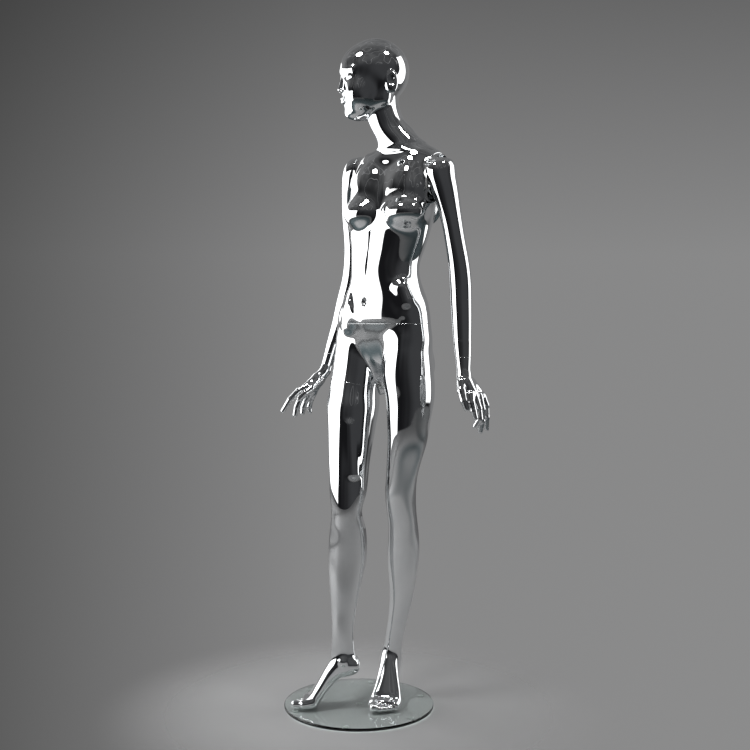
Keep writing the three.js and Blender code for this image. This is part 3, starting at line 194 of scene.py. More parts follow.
# ---------------------------------------------------------------- torso and neck
TORSO = [
    column([
        (858, 48.5, 44, 20, 8, 30, 0, 2.1), (872, 48.7, 43, 34, 14, 46, 0, 2.1),
        (892, 49, 42, 64, 23, 62, 0, 2.15), (916, 49.4, 41.5, 104, 36, 76, 0, 2.2),
        (942, 49.3, 41.3, 132, 47, 84), (970, 49.0, 41.2, 143.5, 56, 86.2),
        (998, 49.2, 41.4, 142, 63.5, 85), (1023.9, 48.8, 40.9, 140.4, 70.5, 84.2),
        (1076.5, 53.9, 42.6, 124.6, 74.7, 74.7), (1118.4, 58.3, 41.1, 104.4, 71.0, 64.7),
        (1160.1, 60.3, 37.6, 97.7, 70.3, 62.5), (1207.0, 66.6, 40.2, 106.3, 72.3, 65.9),
        (1261.4, 73.7, 41.0, 119.7, 74.2, 70.6), (1310.4, 81.2, 42.0, 126.3, 71.4, 72.0),
        (1357.1, 86.9, 46.8, 129.5, 67.3, 69.9), (1393.3, 91.1, 50.3, 132.4, 60.9, 66.2),
        (1421.7, 95.0, 53.6, 134.3, 55.1, 61.8), (1442.3, 97.4, 55.6, 125.1, 52.6, 55.1),
        (1460.4, 101.4, 59.0, 101.9, 46.9, 48.9), (1475.9, 101.6, 59.1, 67.2, 41.7, 41.7),
    ], cap=40, fullness=2.25),
    # neck
    column([
        (1455.2, 110.0, 66.2, 80.7, 68.6, 50.1), (1475.9, 100.2, 58.0, 65.9, 59.3, 47.4),
        (1496.5, 88.8, 48.4, 59.9, 56.9, 50.9, -8, 1.8),
        (1517.1, 77.5, 38.9, 53.6, 53.6, 51.0, -15, 1.75),
        (1542.8, 67.4, 30.4, 49.4, 49.4, 49.4, -22, 1.75),
        (1563.5, 61.1, 26.4, 48.2, 48.2, 48.2, -26, 1.75),
        (1584.3, 56.4, 23.9, 47.6, 47.6, 47.6, -30, 1.8),
        (1615.1, 54.5, 22.2, 46.7, 46.7, 46.7, -32, 2.0),
    ], cap=14, blend=26),
    # breasts
    ball((152, 13, 1342), (57, 42, 86), 36),
    ball((160, -6, 1297), (57, 50, 38), 26),
    ball((34, 11, 1345), (57, 42, 86), 36),
    ball((27, -8, 1300), (57, 50, 43), 26),
    # buttocks
    ball((109, 87, 905), (66, 54, 76), 40),
    ball((-11, 87, 896), (66, 54, 76), 40),
    # collar bones
    capsule((106, 18, 1436), 10, (176, 34, 1440), 10, 30),
    capsule((82, 18, 1438), 10, (10, 34, 1448), 10, 30),
    # shoulder blades
    ball((159, 98, 1345), (46, 20, 72), 26),
    ball((27, 98, 1352), (46, 20, 72), 26),
    # slopes from the neck to the shoulders
    capsule((96, 68, 1500), 24, (192, 60, 1432), 18, 36),
    capsule((96, 68, 1500), 24, (0, 60, 1442), 18, 36),
    # swellings at the front of each hip
    capsule((145.5, 2, 1106), 18, (156, 8, 1074), 17, 34),
    capsule((-6.8, -11, 1060.6), 17, (-25.7, -8, 1006), 17, 32),
    # grooves down each side of the belly to the groin, right then left
    *groove(9, 14, (-6.5, -27.6, 1098.3), (23.8, -44, 1028.8), (29.8, -27.7, 954.4),
            (39.9, 5.7, 886.2)),
    *groove(9, 16, (162, -19, 1020), (136.3, -26.1, 952.7), (82.5, -9.4, 889.4)),
    # line down the belly, and the navel
    *groove(8, 14, (71, -39.6, 1246), (51, -38.6, 1112)),
    ball((46, -38, 1071), (9, 15, 12), 4, cut=True),
    # spine, and the cleft below it
    *groove(9, 22, (94, 130, 1400), (60, 117, 1120)),
    *groove(8, 16, (49, 148, 955), (49, 122, 872)),
]


# ---------------------------------------------------------------- head
# In its own frame, like the figure's: x left, y back, z up. side: 1 is left, -1 right.
HEAD_ORIGIN, HEAD_YAW = np.array([45.8, 12.3, 1650.6]), -37
HEAD_BLEND = 12


def half_face(side):
    return [
        # jaw and cheek
        capsule((side * 14, -50, -93), 13, (side * 44, 14, -62), 15, 22),
        capsule((side * 43, 8, -60), 14, (side * 50, 22, -22), 16, 34),
        ball((side * 35, -45, -46), (27, 35, 42), 24),
        # eye hollow, eye and brow
        ball((side * 31, -93, -4), (17, 15, 11), 12, cut=True),
        ball((side * 30, -64, -6), (17, 17, 11), 5),
        capsule((side * 10, -82, 13), 6, (side * 44, -68, 12), 6, 14),
    ]


def ear(side):
    return [
        ball((side * 69, 27, -22), (9, 17, 30), 5, yaw=side * -14),
        ball((side * 79, 24, -17), (7, 10, 17), 4, yaw=side * -14, cut=True),
    ]


HEAD = [
    ball((0, 4, 16), (71, 86, 84), 0),
    ball((0, -28, 24), (58, 61, 54), 25),
    column([
        (-112, 0, -46, 10, 12, 26, 0, 2.2), (-104, 0, -42, 22, 29, 36),
        (-92, 0, -36, 33, 41, 40), (-76, 0, -28, 43, 52, 44), (-60, 0, -24, 50, 60, 46),
        (-40, 0, -22, 56, 63, 50), (-20, 0, -20, 60, 65, 55), (0, 0, -18, 61, 66, 60),
        (20, 0, -16, 60, 66, 60),
    ], cap=20, blend=16, fullness=2.3),
    *half_face(1),
    *half_face(-1),
    # nose: bridge, tip and nostrils
    capsule((0, -83, -2), 6, (0, -88.5, -28), 7.5, 9),
    ball((0, -90.5, -34), (7.5, 8.5, 6.5), 5),
    ball((9, -83.5, -38), (6.5, 9, 5.5), 4),
    ball((-9, -83.5, -38), (6.5, 9, 5.5), 4),
    # lips and chin
    ball((0, -84, -57.5), (21, 6.8, 4.6), 4),
    ball((0, -82.5, -66), (17.5, 7.2, 5.2), 4),
    ball((0, -64, -93), (20, 14, 15), 12),
    *ear(1),
    *ear(-1),
]

# ---------------------------------------------------------------- legs, ankle to hip
# height, centre x, centre y, half width, front depth, back depth, turn
LEG_ROWS = {
    "left": [
        (59.8, 44.8, 82.0, 23.7, 23.7, 26.1, 30), (97.4, 41.3, 83.0, 27.0, 28.4, 31.1, 30),
        (136.8, 47.4, 84.1, 24.8, 26.8, 28.5, 28), (187.2, 56.6, 86.6, 24.9, 25.9, 26.4, 26),
        (243.9, 68.8, 87.1, 28.0, 27.4, 28.6, 24), (301.3, 82.0, 81.8, 33.0, 30.3, 35.0, 22),
        (371.6, 91.2, 73.9, 40.2, 35.4, 45.0, 20), (427.3, 98.5, 67.6, 41.5, 36.6, 47.8, 18),
        (482.9, 104.5, 57.7, 38.6, 35.5, 42.5, 17), (524.4, 107.0, 48.0, 38.8, 38.8, 38.8, 16),
        (565.2, 109.3, 41.5, 40.1, 43.3, 37.7, 15), (605.8, 115.1, 36.5, 40.8, 42.8, 39.1, 14),
        (659.3, 125.1, 35.8, 45.4, 46.3, 45.4, 12), (712.1, 134.3, 38.2, 51.6, 52.7, 53.7, 10),
        (764.3, 136.4, 40.7, 56.1, 57.3, 60.6, 8), (816.2, 136.7, 44.9, 61.6, 62.8, 69.0, 5),
        (878.6, 132.7, 43.4, 65.3, 66.6, 73.1, 4), (941.1, 134.6, 39.8, 59.8, 59.8, 65.8, 3),
        (987.7, 134.5, 41.1, 50.2, 50.2, 55.2, 2), (1029.1, 134.0, 47.2, 35.6, 35.6, 39.1, 0),
    ],
    "right": [
        (91.4, -11.1, -49.8, 25.3, 27.8, 27.8, -50), (123.7, -12.6, -51.0, 23.9, 29.9, 31.1, -50),
        (164.0, -12.7, -51.2, 24.4, 29.3, 30.5, -50), (204.1, -13.2, -50.9, 24.3, 28.0, 29.2, -50),
        (255.5, -16.5, -42.6, 30.3, 32.7, 33.9, -48), (307.0, -20.7, -35.0, 38.2, 38.2, 42.1, -46),
        (358.7, -26.1, -27.8, 46.4, 42.7, 53.8, -44), (398.6, -27.1, -26.0, 48.8, 43.0, 58.6, -42),
        (439.3, -24.3, -26.3, 48.5, 43.7, 57.2, -40), (480.6, -17.9, -28.1, 45.5, 43.2, 47.8, -38),
        (519.2, -12.0, -32.3, 41.6, 42.5, 38.3, -35), (560.7, -13.1, -24.0, 47.4, 51.2, 43.6, -30),
        (599.8, -17.0, -19.5, 50.8, 52.8, 49.8, -25), (651.9, -22.9, -11.4, 55.0, 56.1, 55.0, -20),
        (704.2, -27.2, -1.9, 59.4, 60.6, 61.8, -17), (756.8, -31.3, 7.7, 64.1, 65.4, 69.2, -13),
        (804.3, -35.7, 17.1, 67.7, 69.0, 74.4, -10), (830.9, -36.8, 21.3, 65.1, 66.5, 73.0, -8),
        (884.2, -35.9, 33.8, 64.8, 66.1, 72.6, -6), (937.8, -35.7, 40.5, 62.7, 62.7, 69.0, -4),
        (986.2, -35.3, 42.2, 53.9, 53.9, 59.3, -2), (1029.1, -31.9, 41.1, 36.8, 36.8, 40.5, 0),
    ],
}
LEGS = {side: [column(LEG_ROWS[side], cap=24)] for side in SIDES}
# a swelling down the inner side of the right thigh
LEGS["right"].append(capsule((1.8, -36.6, 748.6), 12, (15.2, -41, 622), 14, 18))

# ---------------------------------------------------------------- feet
# In a frame of their own: x left, y up, z from heel to toes. The left foot is given; the
# right one mirrors it. Columns as for a limb, so the two depths are down and up.
FOOT_ROWS = [
    (0, 0, 112, 10, 9, 10), (4, 0, 112, 17, 15, 16), (12, 0, 112, 22.5, 21, 20, 0, 2.05),
    (24, 0, 112, 24.5, 25, 22, 0, 2.05), (40, 0, 110, 24, 28, 26, 0, 2.05),
    (56, 0, 104, 23.5, 29, 33, 0, 2.05), (72, 1, 90, 25.5, 32, 36, 0, 2.05),
    (86, 2, 74, 28.5, 32, 37, 0, 2.1), (100, 3, 52, 33, 30, 38, 0, 2.2),
    (112, 4, 34, 37, 28, 36, 0, 2.3), (122, 4, 24, 40, 22, 29, 0, 2.3),
    (132, 4, 17, 41.5, 16.5, 20, 0, 2.4), (142, 3, 14, 41, 14, 14.5, 0, 2.5),
    (152, 1, 13, 39, 13, 13, 0, 2.5),
]
# start x, y, z, radius, end x, y, z, radius, blend: toes from the big one outwards, then
# the swelling behind the big toe
TOES = [
    (-24, 13, 146, 11.5, -20, 12.5, 171, 11.2, 5), (-6, 12, 150, 8.5, -4, 9.5, 170, 8.2, 5),
    (8, 12, 147, 8, 9, 9, 164, 7.6, 5), (20, 11.5, 141, 7.8, 21, 8.6, 156, 7.2, 5),
    (31, 11, 133, 7.6, 31, 8.2, 146, 7.0, 5), (-27, 16, 126, 12, -25, 15, 146, 11, 14),
]
FOOT_BLEND = 26


def foot(mirror):
    rows = [(z, mirror * x, y, *rest) for z, x, y, *rest in FOOT_ROWS]
    toes = [capsule((mirror * x0, y0, z0), r0, (mirror * x1, y1, z1), r1, blend)
            for x0, y0, z0, r0, x1, y1, z1, r1, blend in TOES]
    return [column(rows, cap=8)] + toes


def foot_frame(origin, yaw):
    def local(points):
        level = turned(points, origin, yaw)
        return np.stack([level[:, 0], level[:, 2], -level[:, 1]], 1)
    return local


INNER_ANKLE = ball((19.5, 124, 44), (8.5, 10, 10), 7)    # of the right foot

# ---------------------------------------------------------------- arms, wrist to shoulder
# height, centre x, centre y, half width, front depth, back depth, turn
ARM_ROWS = {
    "left": [
        (873.5, 300.7, 56.5, 16.3, 18.7, 18.7, 48), (893.6, 298.8, 57.5, 17.2, 18.1, 18.1, 45),
        (928.6, 294.8, 60.7, 19.8, 18.8, 18.8, 40), (973.8, 289.5, 64.1, 23.4, 22.3, 22.3, 35),
        (1024.1, 284.7, 67.9, 26.2, 26.2, 26.2, 30), (1074.5, 280.3, 70.7, 28.0, 28.0, 28.0, 25),
        (1125.0, 276.3, 72.6, 28.4, 28.4, 28.4, 20), (1175.4, 272.0, 70.3, 27.4, 29.6, 29.6, 15),
        (1225.7, 265.1, 65.8, 26.2, 30.1, 30.1, 10), (1276.0, 257.7, 60.9, 26.5, 31.8, 31.8, 5),
        (1326.3, 247.8, 55.2, 30.6, 37.3, 37.3, 0), (1361.5, 241.2, 51.0, 33.5, 41.9, 41.9, 0),
        (1394.1, 235.4, 47.4, 35.4, 44.3, 44.3, 0), (1416.8, 234.2, 47.7, 33.9, 38.9, 38.9, 0),
        (1431.9, 234.5, 49.2, 27.1, 27.1, 27.1, 0),
    ],
    "right": [
        (885.8, -156.4, 41.1, 10.7, 14.9, 14.9, -45), (927.0, -149.5, 53.4, 13.8, 17.2, 17.2, -40),
        (968.4, -139.5, 65.7, 21.4, 23.5, 23.5, -35),
        (1023.6, -124.6, 78.2, 28.9, 28.9, 28.9, -28),
        (1078.7, -111.1, 84.3, 31.1, 31.1, 31.1, -20),
        (1133.4, -97.1, 88.2, 30.5, 30.5, 30.5, -15), (1187.8, -87.4, 87.3, 29.5, 31.3, 31.3, -10),
        (1241.9, -83.3, 81.6, 28.0, 31.3, 31.3, -6), (1295.3, -79.4, 71.8, 28.0, 33.1, 33.1, -3),
        (1347.8, -68.5, 61.3, 30.2, 36.9, 36.9, 0), (1384.4, -59.5, 57.1, 33.4, 41.7, 41.7, 0),
        (1418.6, -52.0, 58.2, 36.1, 45.1, 45.1, 0), (1442.6, -46.2, 62.4, 36.0, 41.4, 41.4, 0),
        (1458.6, -42.6, 65.4, 30.9, 30.9, 30.9, 0),
    ],
}
ARMS = {side: [column(ARM_ROWS[side], cap=24)] for side in SIDES}

# ---------------------------------------------------------------- hands
# The wrist repeats the low end of the arm; then the palm, and the five digits.
HANDS = {
    "left": [
        column(ARM_ROWS["left"][:4], cap=8),
        capsule((300.0, 57.3, 883.6), 17.5, (306.5, 61.4, 861.0), 18, 14),
        capsule((310.4, 51.6, 864.1), 18, (324.8, 57.2, 839.3), 16, 14),
        capsule((306.5, 74.4, 862.9), 17, (322.8, 90.7, 835.0), 14, 14),
        *finger((305.4, 37.0, 869.5, 12), (314.6, 26.4, 847.9, 11), (324.1, 23.9, 823.6, 9.2),
                (331.8, 25.2, 804.0, 7)),
        *finger((329.5, 44.1, 837.7, 11), (338.4, 35.9, 818.6, 9.5), (344.5, 35.9, 799.1, 8.2),
                (348.4, 39.1, 781.7, 6.5)),
        *finger((329.6, 61.2, 834.3, 11), (341.4, 61.9, 804.8, 9.3), (343.2, 66.1, 777.0, 8.2),
                (331.4, 61.4, 757.8, 6.4)),
        *finger((329.7, 80.8, 833.3, 10.5), (337.9, 82.5, 800.8, 9), (335.7, 85.9, 770.2, 8),
                (328.3, 88.8, 743.0, 6.3)),
        *finger((327.9, 98.9, 832.2, 9.5), (335.3, 103.8, 809.5, 8.4), (334.7, 108.5, 778.7, 7.2),
                (331.0, 113.3, 747.6, 5.8)),
    ],
    "right": [
        column(ARM_ROWS["right"][:3], cap=8),
        capsule((-155.9, 40.2, 883.0), 15, (-169.8, 24.6, 861.1), 16, 14),
        capsule((-169.8, 24.6, 861.1), 17, (-182.0, 1.3, 838.2), 17, 14),
        capsule((-173.9, 29.0, 858.0), 16, (-190.8, 22.7, 827.2), 14.5, 14),
        capsule((-167.2, 13.7, 856.1), 14, (-177.9, -10.9, 841.7), 12, 14),
        *finger((-171.7, -13.5, 843.4, 10.5), (-186.4, -33.7, 831.5, 9.0),
                (-202.5, -52.4, 807.1, 7.6), (-215.5, -67.3, 775.9, 6.0)),
        *finger((-177.8, 0.9, 835.6, 11), (-193.4, -18.6, 812.6, 9.2), (-200.4, -27.2, 785.2, 8),
                (-204.0, -31.5, 763.3, 6.4)),
        *finger((-183.9, 15.4, 827.8, 10.5), (-196.7, 4.7, 802.9, 8.8), (-202.0, 0.2, 783.5, 7.8),
                (-203.5, -2.3, 766.9, 6.2)),
        *finger((-189.3, 29.2, 824.1, 9.5), (-198.4, 26.7, 803.0, 7.8), (-202.3, 24.7, 784.8, 7),
                (-201.3, 25.6, 768.1, 5.6)),
        *finger((-158.1, 16.1, 859.1, 11), (-157.8, -12.3, 838.4, 9.5),
                (-165.6, -31.9, 825.4, 8.2), (-175.4, -45.3, 809.4, 6.6)),
    ],
}

# ---------------------------------------------------------------- the whole figure's field
torso_field = bounded(TORSO, (-130, -110, 780), (250, 200, 1640))
head_field = bounded(HEAD, HEAD_ORIGIN - (110, 110, 120), HEAD_ORIGIN + (110, 110, 105),
                     lambda points: turned(points, HEAD_ORIGIN, HEAD_YAW))
leg_fields = {
    "left": bounded(LEGS["left"], (-20, -60, 60), (210, 200, 1010)),
    "right": bounded(LEGS["right"], (-130, -120, 90), (80, 130, 1010)),
}
foot_fields = {
    "left": bounded(foot(1), (-60, -130, -5), (160, 200, 190),
                    foot_frame((20.8, 124.5, 0.0), 27.4)),
    "right": bounded(foot(-1) + [INNER_ANKLE], (-210, -210, -5), (80, 40, 200),
                     foot_frame((25.0, -24.7, 0.0), -50)),
}
arm_fields = {
    "left": bounded(ARMS["left"], (150, -20, 850), (330, 140, 1450)),
    "right": bounded(ARMS["right"], (-200, -60, 860), (40, 190, 1475)),
}
hand_fields = {
    "left": bounded(HANDS["left"], (240, -60, 690), (400, 120, 960)),
    "right": bounded(HANDS["right"], (-330, -120, 740), (-80, 120, 960)),
}


def body_field(points):
    """Head, torso, legs and feet. The blends widen with height between the thighs."""
    z = points[:, 2]
    trunk = soft_min(torso_field(points), head_field(points), HEAD_BLEND)
    left, right = [soft_min(leg_fields[side](points), foot_fields[side](points), FOOT_BLEND)
                   for side in SIDES]
    legs = soft_min(left, right, 6 + 14 * ease(840, 900, z))
    return soft_min(trunk, legs, 9 + 22 * ease(900, 985, z))


def figure_field(points):
    distance = body_field(points)
    shoulder_blend = 4 + 26 * ease(1325, 1385, points[:, 2])
    for side in SIDES:
        distance = soft_min(distance, arm_fields[side](points), shoulder_blend)
    for side in SIDES:
        distance = soft_min(distance, hand_fields[side](points), 3)
    return distance


# ---------------------------------------------------------------- surface tools
# A piece of skin is (points, normals, triangles).
pool = ThreadPoolExecutor(4)
CHUNK = 60000
CORNERS = list(product((0, 1), repeat=3))
TETRAHEDRON = np.array([[1, 1, 1], [1, -1, -1], [-1, 1, -1], [-1, -1, 1]], float)


def each(field, points):
    """The field over many points in chunks, joined in order."""
    if len(points) <= CHUNK:
        return field(points)
    chunks = [points[i:i + CHUNK] for i in range(0, len(points), CHUNK)]
    return np.concatenate(list(pool.map(field, chunks)))


def slope(field, points):
    """The field and its gradient, from four samples round each point."""
    reach = 0.5
    samples = [each(field, points + reach * arm) for arm in TETRAHEDRON]
    gradient = sum(arm[None] * sample[:, None] for arm, sample in zip(TETRAHEDRON, samples))
    return sum(samples) / 4, gradient / (4 * reach)


def settle(field, points, rounds=2):
    """Moves points onto the surface field = 0 and gives the unit normals there."""
    for _ in range(rounds):
        value, gradient = slope(field, points)
        normals = gradient / (np.linalg.norm(gradient, axis=1, keepdims=True) + 1e-12)
        step = value / np.maximum((gradient * gradient).sum(1), 0.05)
        points = points - np.clip(step, -2, 2)[:, None] * gradient
    return points, normals


def corner_slices(shape):
    """For each corner of a cell, the slices that take it for every cell of a grid."""
    return [tuple(slice(c, c + n) for c, n in zip(corner, shape)) for corner in CORNERS]


def isosurface(field, low, high, cell, coarse=4):
    """The surface field = 0: a coarse pass finds the cells near it, a fine pass nets it."""
    low = np.array(low, float)
    block = cell * coarse
    count = np.ceil((np.array(high, float) - low) / block).astype(int)
    axes = [low[i] + block * np.arange(count[i] + 1) for i in range(3)]
    lattice = np.stack(np.meshgrid(*axes, indexing='ij'), -1).reshape(-1, 3)
    values = each(field, lattice).reshape(count + 1)
    nearest = np.full(tuple(count), 1e9)
    outside = np.zeros(tuple(count), np.int8)
    for corner in corner_slices(count):
        nearest = np.minimum(nearest, np.abs(values[corner]))
        outside += values[corner] > 0
    active = (nearest < 1.15 * block) | ((outside > 0) & (outside < 8))
    for axis in range(3):
        active = active.repeat(coarse, axis)

    shape = np.array(active.shape)
    wanted = np.zeros(shape + 1, bool)
    for corner in corner_slices(shape):
        wanted[corner] |= active
    grid = np.ones(shape + 1, np.float32)
    grid[wanted] = each(field, low + cell * np.argwhere(wanted)).astype(np.float32)
    inside = grid < 0
    corners_in = np.zeros(shape, np.int8)
    for corner in corner_slices(shape):
        corners_in += inside[corner]
    mixed = active & (corners_in > 0) & (corners_in < 8)
    cells = np.argwhere(mixed)
    index = np.full(shape, -1, np.int32)
    index[mixed] = np.arange(len(cells))

    # one point per cell, at the mean of the places where its edges cross the surface
    corners = np.array(CORNERS)
    values = np.stack([grid[tuple((cells + c).T)] for c in corners], 1).astype(float)
    total = np.zeros((len(cells), 3))
    crossings = np.zeros(len(cells))
    for a, b in combinations(range(8), 2):
        if np.abs(corners[a] - corners[b]).sum() != 1:
            continue
        crosses = (values[:, a] < 0) != (values[:, b] < 0)
        drop = np.where(crosses, values[:, a] - values[:, b], 1)
        share = np.where(crosses, values[:, a] / drop, 0)
        place = corners[a] + share[:, None] * (corners[b] - corners[a])
        total += np.where(crosses[:, None], place, 0)
        crossings += crosses
    points = low + cell * (cells + total / crossings[:, None])

    # one quad round every grid edge that crosses the surface
    quads = []
    base = cells[(cells > 0).all(1)]
    units = np.eye(3, dtype=int)
    for axis in range(3):
        u, v = units[(axis + 1) % 3], units[(axis + 2) % 3]
        start_in = inside[tuple(base.T)]
        end_in = inside[tuple((base + units[axis]).T)]
        crosses = start_in != end_in
        crossed, flip = base[crosses], end_in[crosses]
        quad = np.stack([index[tuple((crossed - a).T)] for a in (u * 0, u, u + v, v)], 1)
        whole = (quad >= 0).all(1)
        quad, flip = quad[whole], flip[whole]
        quad[flip] = quad[flip][:, ::-1]
        quads.append(quad)
    quads = np.concatenate(quads)
    points, normals = settle(field, points)

    # each quad is split along its shorter diagonal
    first = ((points[quads[:, 0]] - points[quads[:, 2]]) ** 2).sum(1)
    second = ((points[quads[:, 1]] - points[quads[:, 3]]) ** 2).sum(1)
    short = first <= second
    one, other = quads[short], quads[~short]
    triangles = np.concatenate([one[:, [0, 1, 2]], one[:, [0, 2, 3]],
                                other[:, [0, 1, 3]], other[:, [1, 2, 3]]])
    return points, normals, triangles


def cut_at(piece, values):
    """Splits every triangle crossed by the line where the values at the points are nought."""
    points, normals, triangles = piece
    values = np.where(np.abs(values) < 1e-4, 1e-4, values)
    above = values[triangles] > 0
    number = above.sum(1)
    crossed = (number == 1) | (number == 2)
    split_, above = triangles[crossed], above[crossed]
    lone = np.argmax(above == (above.sum(1) == 1)[:, None], 1)
    a, b, c = [split_[np.arange(len(split_)), (lone + i) % 3] for i in range(3)]
    edges = np.sort(np.concatenate([np.stack([a, b], 1), np.stack([a, c], 1)]), 1)
    edges, inverse = np.unique(edges, axis=0, return_inverse=True)
    inverse = inverse.ravel()
    start, end = edges[:, 0], edges[:, 1]
    share = (values[start] / (values[start] - values[end]))[:, None]
    added = points[start] + share * (points[end] - points[start])
    added_normals = normals[start] + share * (normals[end] - normals[start])
    if len(added):
        added, added_normals = settle(figure_field, added, 1)
    ab = len(points) + inverse[:len(a)]
    ac = len(points) + inverse[len(a):]
    new = [np.stack([a, ab, ac], 1), np.stack([ab, b, c], 1), np.stack([ab, c, ac], 1)]
    return (np.concatenate([points, added]), np.concatenate([normals, added_normals]),
            np.concatenate([triangles[~crossed], *new]))


def keep(piece, mask):
    """The triangles in mask, with only the points they use."""
    points, normals, triangles = piece
    triangles = triangles[mask]
    used, inverse = np.unique(triangles, return_inverse=True)
    return points[used], normals[used], inverse.reshape(-1, 3)


def normalised(rows, tiny=1e-9):
    return rows / (np.linalg.norm(rows, axis=1, keepdims=True) + tiny)


def rims(piece, seams, wall, depth):
    """Gives each open edge a rounded lip, the wall's cut face and a length of inner wall.
    seams: list of (field over points, direction out of the piece, reveal)."""
    points, normals, triangles = piece
    edges = np.concatenate([triangles[:, [0, 1]], triangles[:, [1, 2]], triangles[:, [2, 0]]])
    _, first, count = np.unique(np.sort(edges, 1), axis=0, return_index=True,
                                return_counts=True)
    edges = edges[first[count == 1]]
    ids, inverse = np.unique(edges, return_inverse=True)
    inverse = inverse.reshape(-1, 2)
    edge, normal = points[ids], normals[ids]
    nearest = np.stack([np.abs(field(edge)) for field, _, _ in seams], 1).argmin(1)
    out = np.array([direction for _, direction, _ in seams])[nearest]
    inward = normalised(-(normal - (normal * out).sum(1, keepdims=True) * out))
    reveal = np.array([width for _, _, width in seams])[nearest][:, None]
    halfway = normalised(normal + out)
    face = edge + (reveal - 0.15) * out
    rings = [(edge, normal),
             (edge + 0.62 * reveal * out + 0.25 * inward, halfway),
             (face + 0.95 * inward, normalised(halfway + out)),
             (face + 1.3 * inward, out),
             (face + wall * inward, out),
             (face + wall * inward, inward),
             (edge - depth * out + (wall + 0.3) * inward, inward)]
    sharp = 5                                   # this ring repeats the last with new normals
    faces = [triangles]
    for i in range(1, len(rings)):
        if i == sharp:
            continue
        x, y = (len(points) + (i - 1) * len(ids) + inverse[:, end] for end in (0, 1))
        z, w = x + len(ids), y + len(ids)
        faces += [np.stack([y, x, z], 1), np.stack([y, z, w], 1)]
    return (np.concatenate([points] + [ring for ring, _ in rings]),
            np.concatenate([normals] + [ring for _, ring in rings]), np.concatenate(faces))


# ---------------------------------------------------------------- making objects
def add_object(name, data):
    ob = bpy.data.objects.new(name, data)
    bpy.context.scene.collection.objects.link(ob)
    return ob


def to_metres(points):
    return np.array(points, float) / 1000 + np.array([0, 0, GLASS_Z])


def mesh_object(name, points, normals, triangles):
    """A mesh object with its own smooth normals."""
    mesh = bpy.data.meshes.new(name)
    mesh.vertices.add(len(points))
    mesh.vertices.foreach_set("co", to_metres(points).astype(np.float32).ravel())
    mesh.loops.add(len(triangles) * 3)
    mesh.loops.foreach_set("vertex_index", triangles.astype(np.int32).ravel())
    mesh.polygons.add(len(triangles))
    starts = np.arange(0, len(triangles) * 3, 3, dtype=np.int32)
    mesh.polygons.foreach_set("loop_start", starts)
    mesh.update(calc_edges=True)
    mesh.validate()
    mesh.shade_smooth()
    mesh.normals_split_custom_set_from_vertices([tuple(n) for n in np.array(normals, float)])
    return add_object(name, mesh)


placed = []                                     # (object, slot name), for the materials


def place(ob, body, node, slot):
    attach(ob, body)
    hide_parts(node)
    placed.append((ob, slot))


# ---------------------------------------------------------------- seams
def unit(vector):
    vector = np.array(vector, float)
    return vector / np.linalg.norm(vector)


REVEAL, WRIST_REVEAL = 0.9, 0.7                 # each edge stands back this far from its seam
UP = np.array([0, 0, 1.])
TO_RIGHT = np.array([-1., 0, 0])
MIDDLE = 46.7                                   # x of the plane between the thighs
THIGH_LEAN, SHOULDER_LEAN = math.radians(14), math.radians(6)
WAIST = np.array([52, 42, 1014.7])
THIGH = np.array([-42, 27, 868.])
THIGH_OUT = unit([-math.sin(THIGH_LEAN), 0, -math.cos(THIGH_LEAN)])
SHOULDER = {"left": np.array([216, 49, 1398.]), "right": np.array([-36, 55, 1404.])}
SHOULDER_OUT = {"left": unit([math.cos(SHOULDER_LEAN), 0, -math.sin(SHOULDER_LEAN)])}
SHOULDER_OUT["right"] = -SHOULDER_OUT["left"]
WRIST_Z, WRIST_SPAN = 929., 40                  # height, and the length that gives its slope


def wrist_seam(side):
    """The arm's centre at the wrist, and its direction towards the hand."""
    rows = np.array(ARM_ROWS[side], float)
    x, y = Spline(rows[:, 0], rows[:, 1]), Spline(rows[:, 0], rows[:, 2])
    above = WRIST_Z + WRIST_SPAN
    down = unit([x(WRIST_Z) - x(above), y(WRIST_Z) - y(above), -WRIST_SPAN])
    return np.array([x(WRIST_Z), y(WRIST_Z), WRIST_Z]), down


def shoulder_seam(side):
    """Above nought on the arm's side of the shoulder seam, which runs out into the armpit."""
    centre, out = SHOULDER[side], SHOULDER_OUT[side]

    def raw(points):
        x, z = points[:, 0], points[:, 2]
        high = ease(1290, 1345, z)
        flat = (points - centre) @ out - 200 * ease(1475, 1500, z)
        apart = np.full(len(points), -60.)
        near = (high < 1) & ((x > 120) if side == "left" else (x < 60))
        if near.any():
            some = points[near]
            limb = np.minimum(arm_fields[side](some), hand_fields[side](some))
            apart[near] = (body_field(some) - limb) / 2
        return high * flat + (1 - high) * apart

    def even(points):
        """The same seam, evened so that its gap keeps one width on the skin."""
        value = raw(points)
        z = points[:, 2]
        near = (z > 1280) & (z < 1350) & (np.abs(value) < 12)
        if near.any():
            some = points[near]
            steps = np.eye(3)
            change = np.stack([raw(some + d) - raw(some - d) for d in steps], 1) / 2
            normal = np.stack([figure_field(some + d) - figure_field(some - d)
                               for d in steps], 1)
            normal = normalised(normal)
            across = change - (change * normal).sum(1)[:, None] * normal
            value[near] /= np.clip(np.linalg.norm(across, axis=1), 0.12, 1.0)
        return value
    return even


def plane(centre, normal):
    return lambda points: (points - centre) @ normal


def leg_seam(points):
    """Above nought on the right leg's side: the middle plane in the thighs, nearness below."""
    high = ease(640, 740, points[:, 2])
    apart = np.full(len(points), 0.)
    low = high < 1
    if low.any():
        some = points[low]
        left, right = [np.minimum(leg_fields[side](some), foot_fields[side](some))
                       for side in SIDES]
        apart[low] = (left - right) / 2
    return high * (MIDDLE - points[:, 0]) + (1 - high) * apart


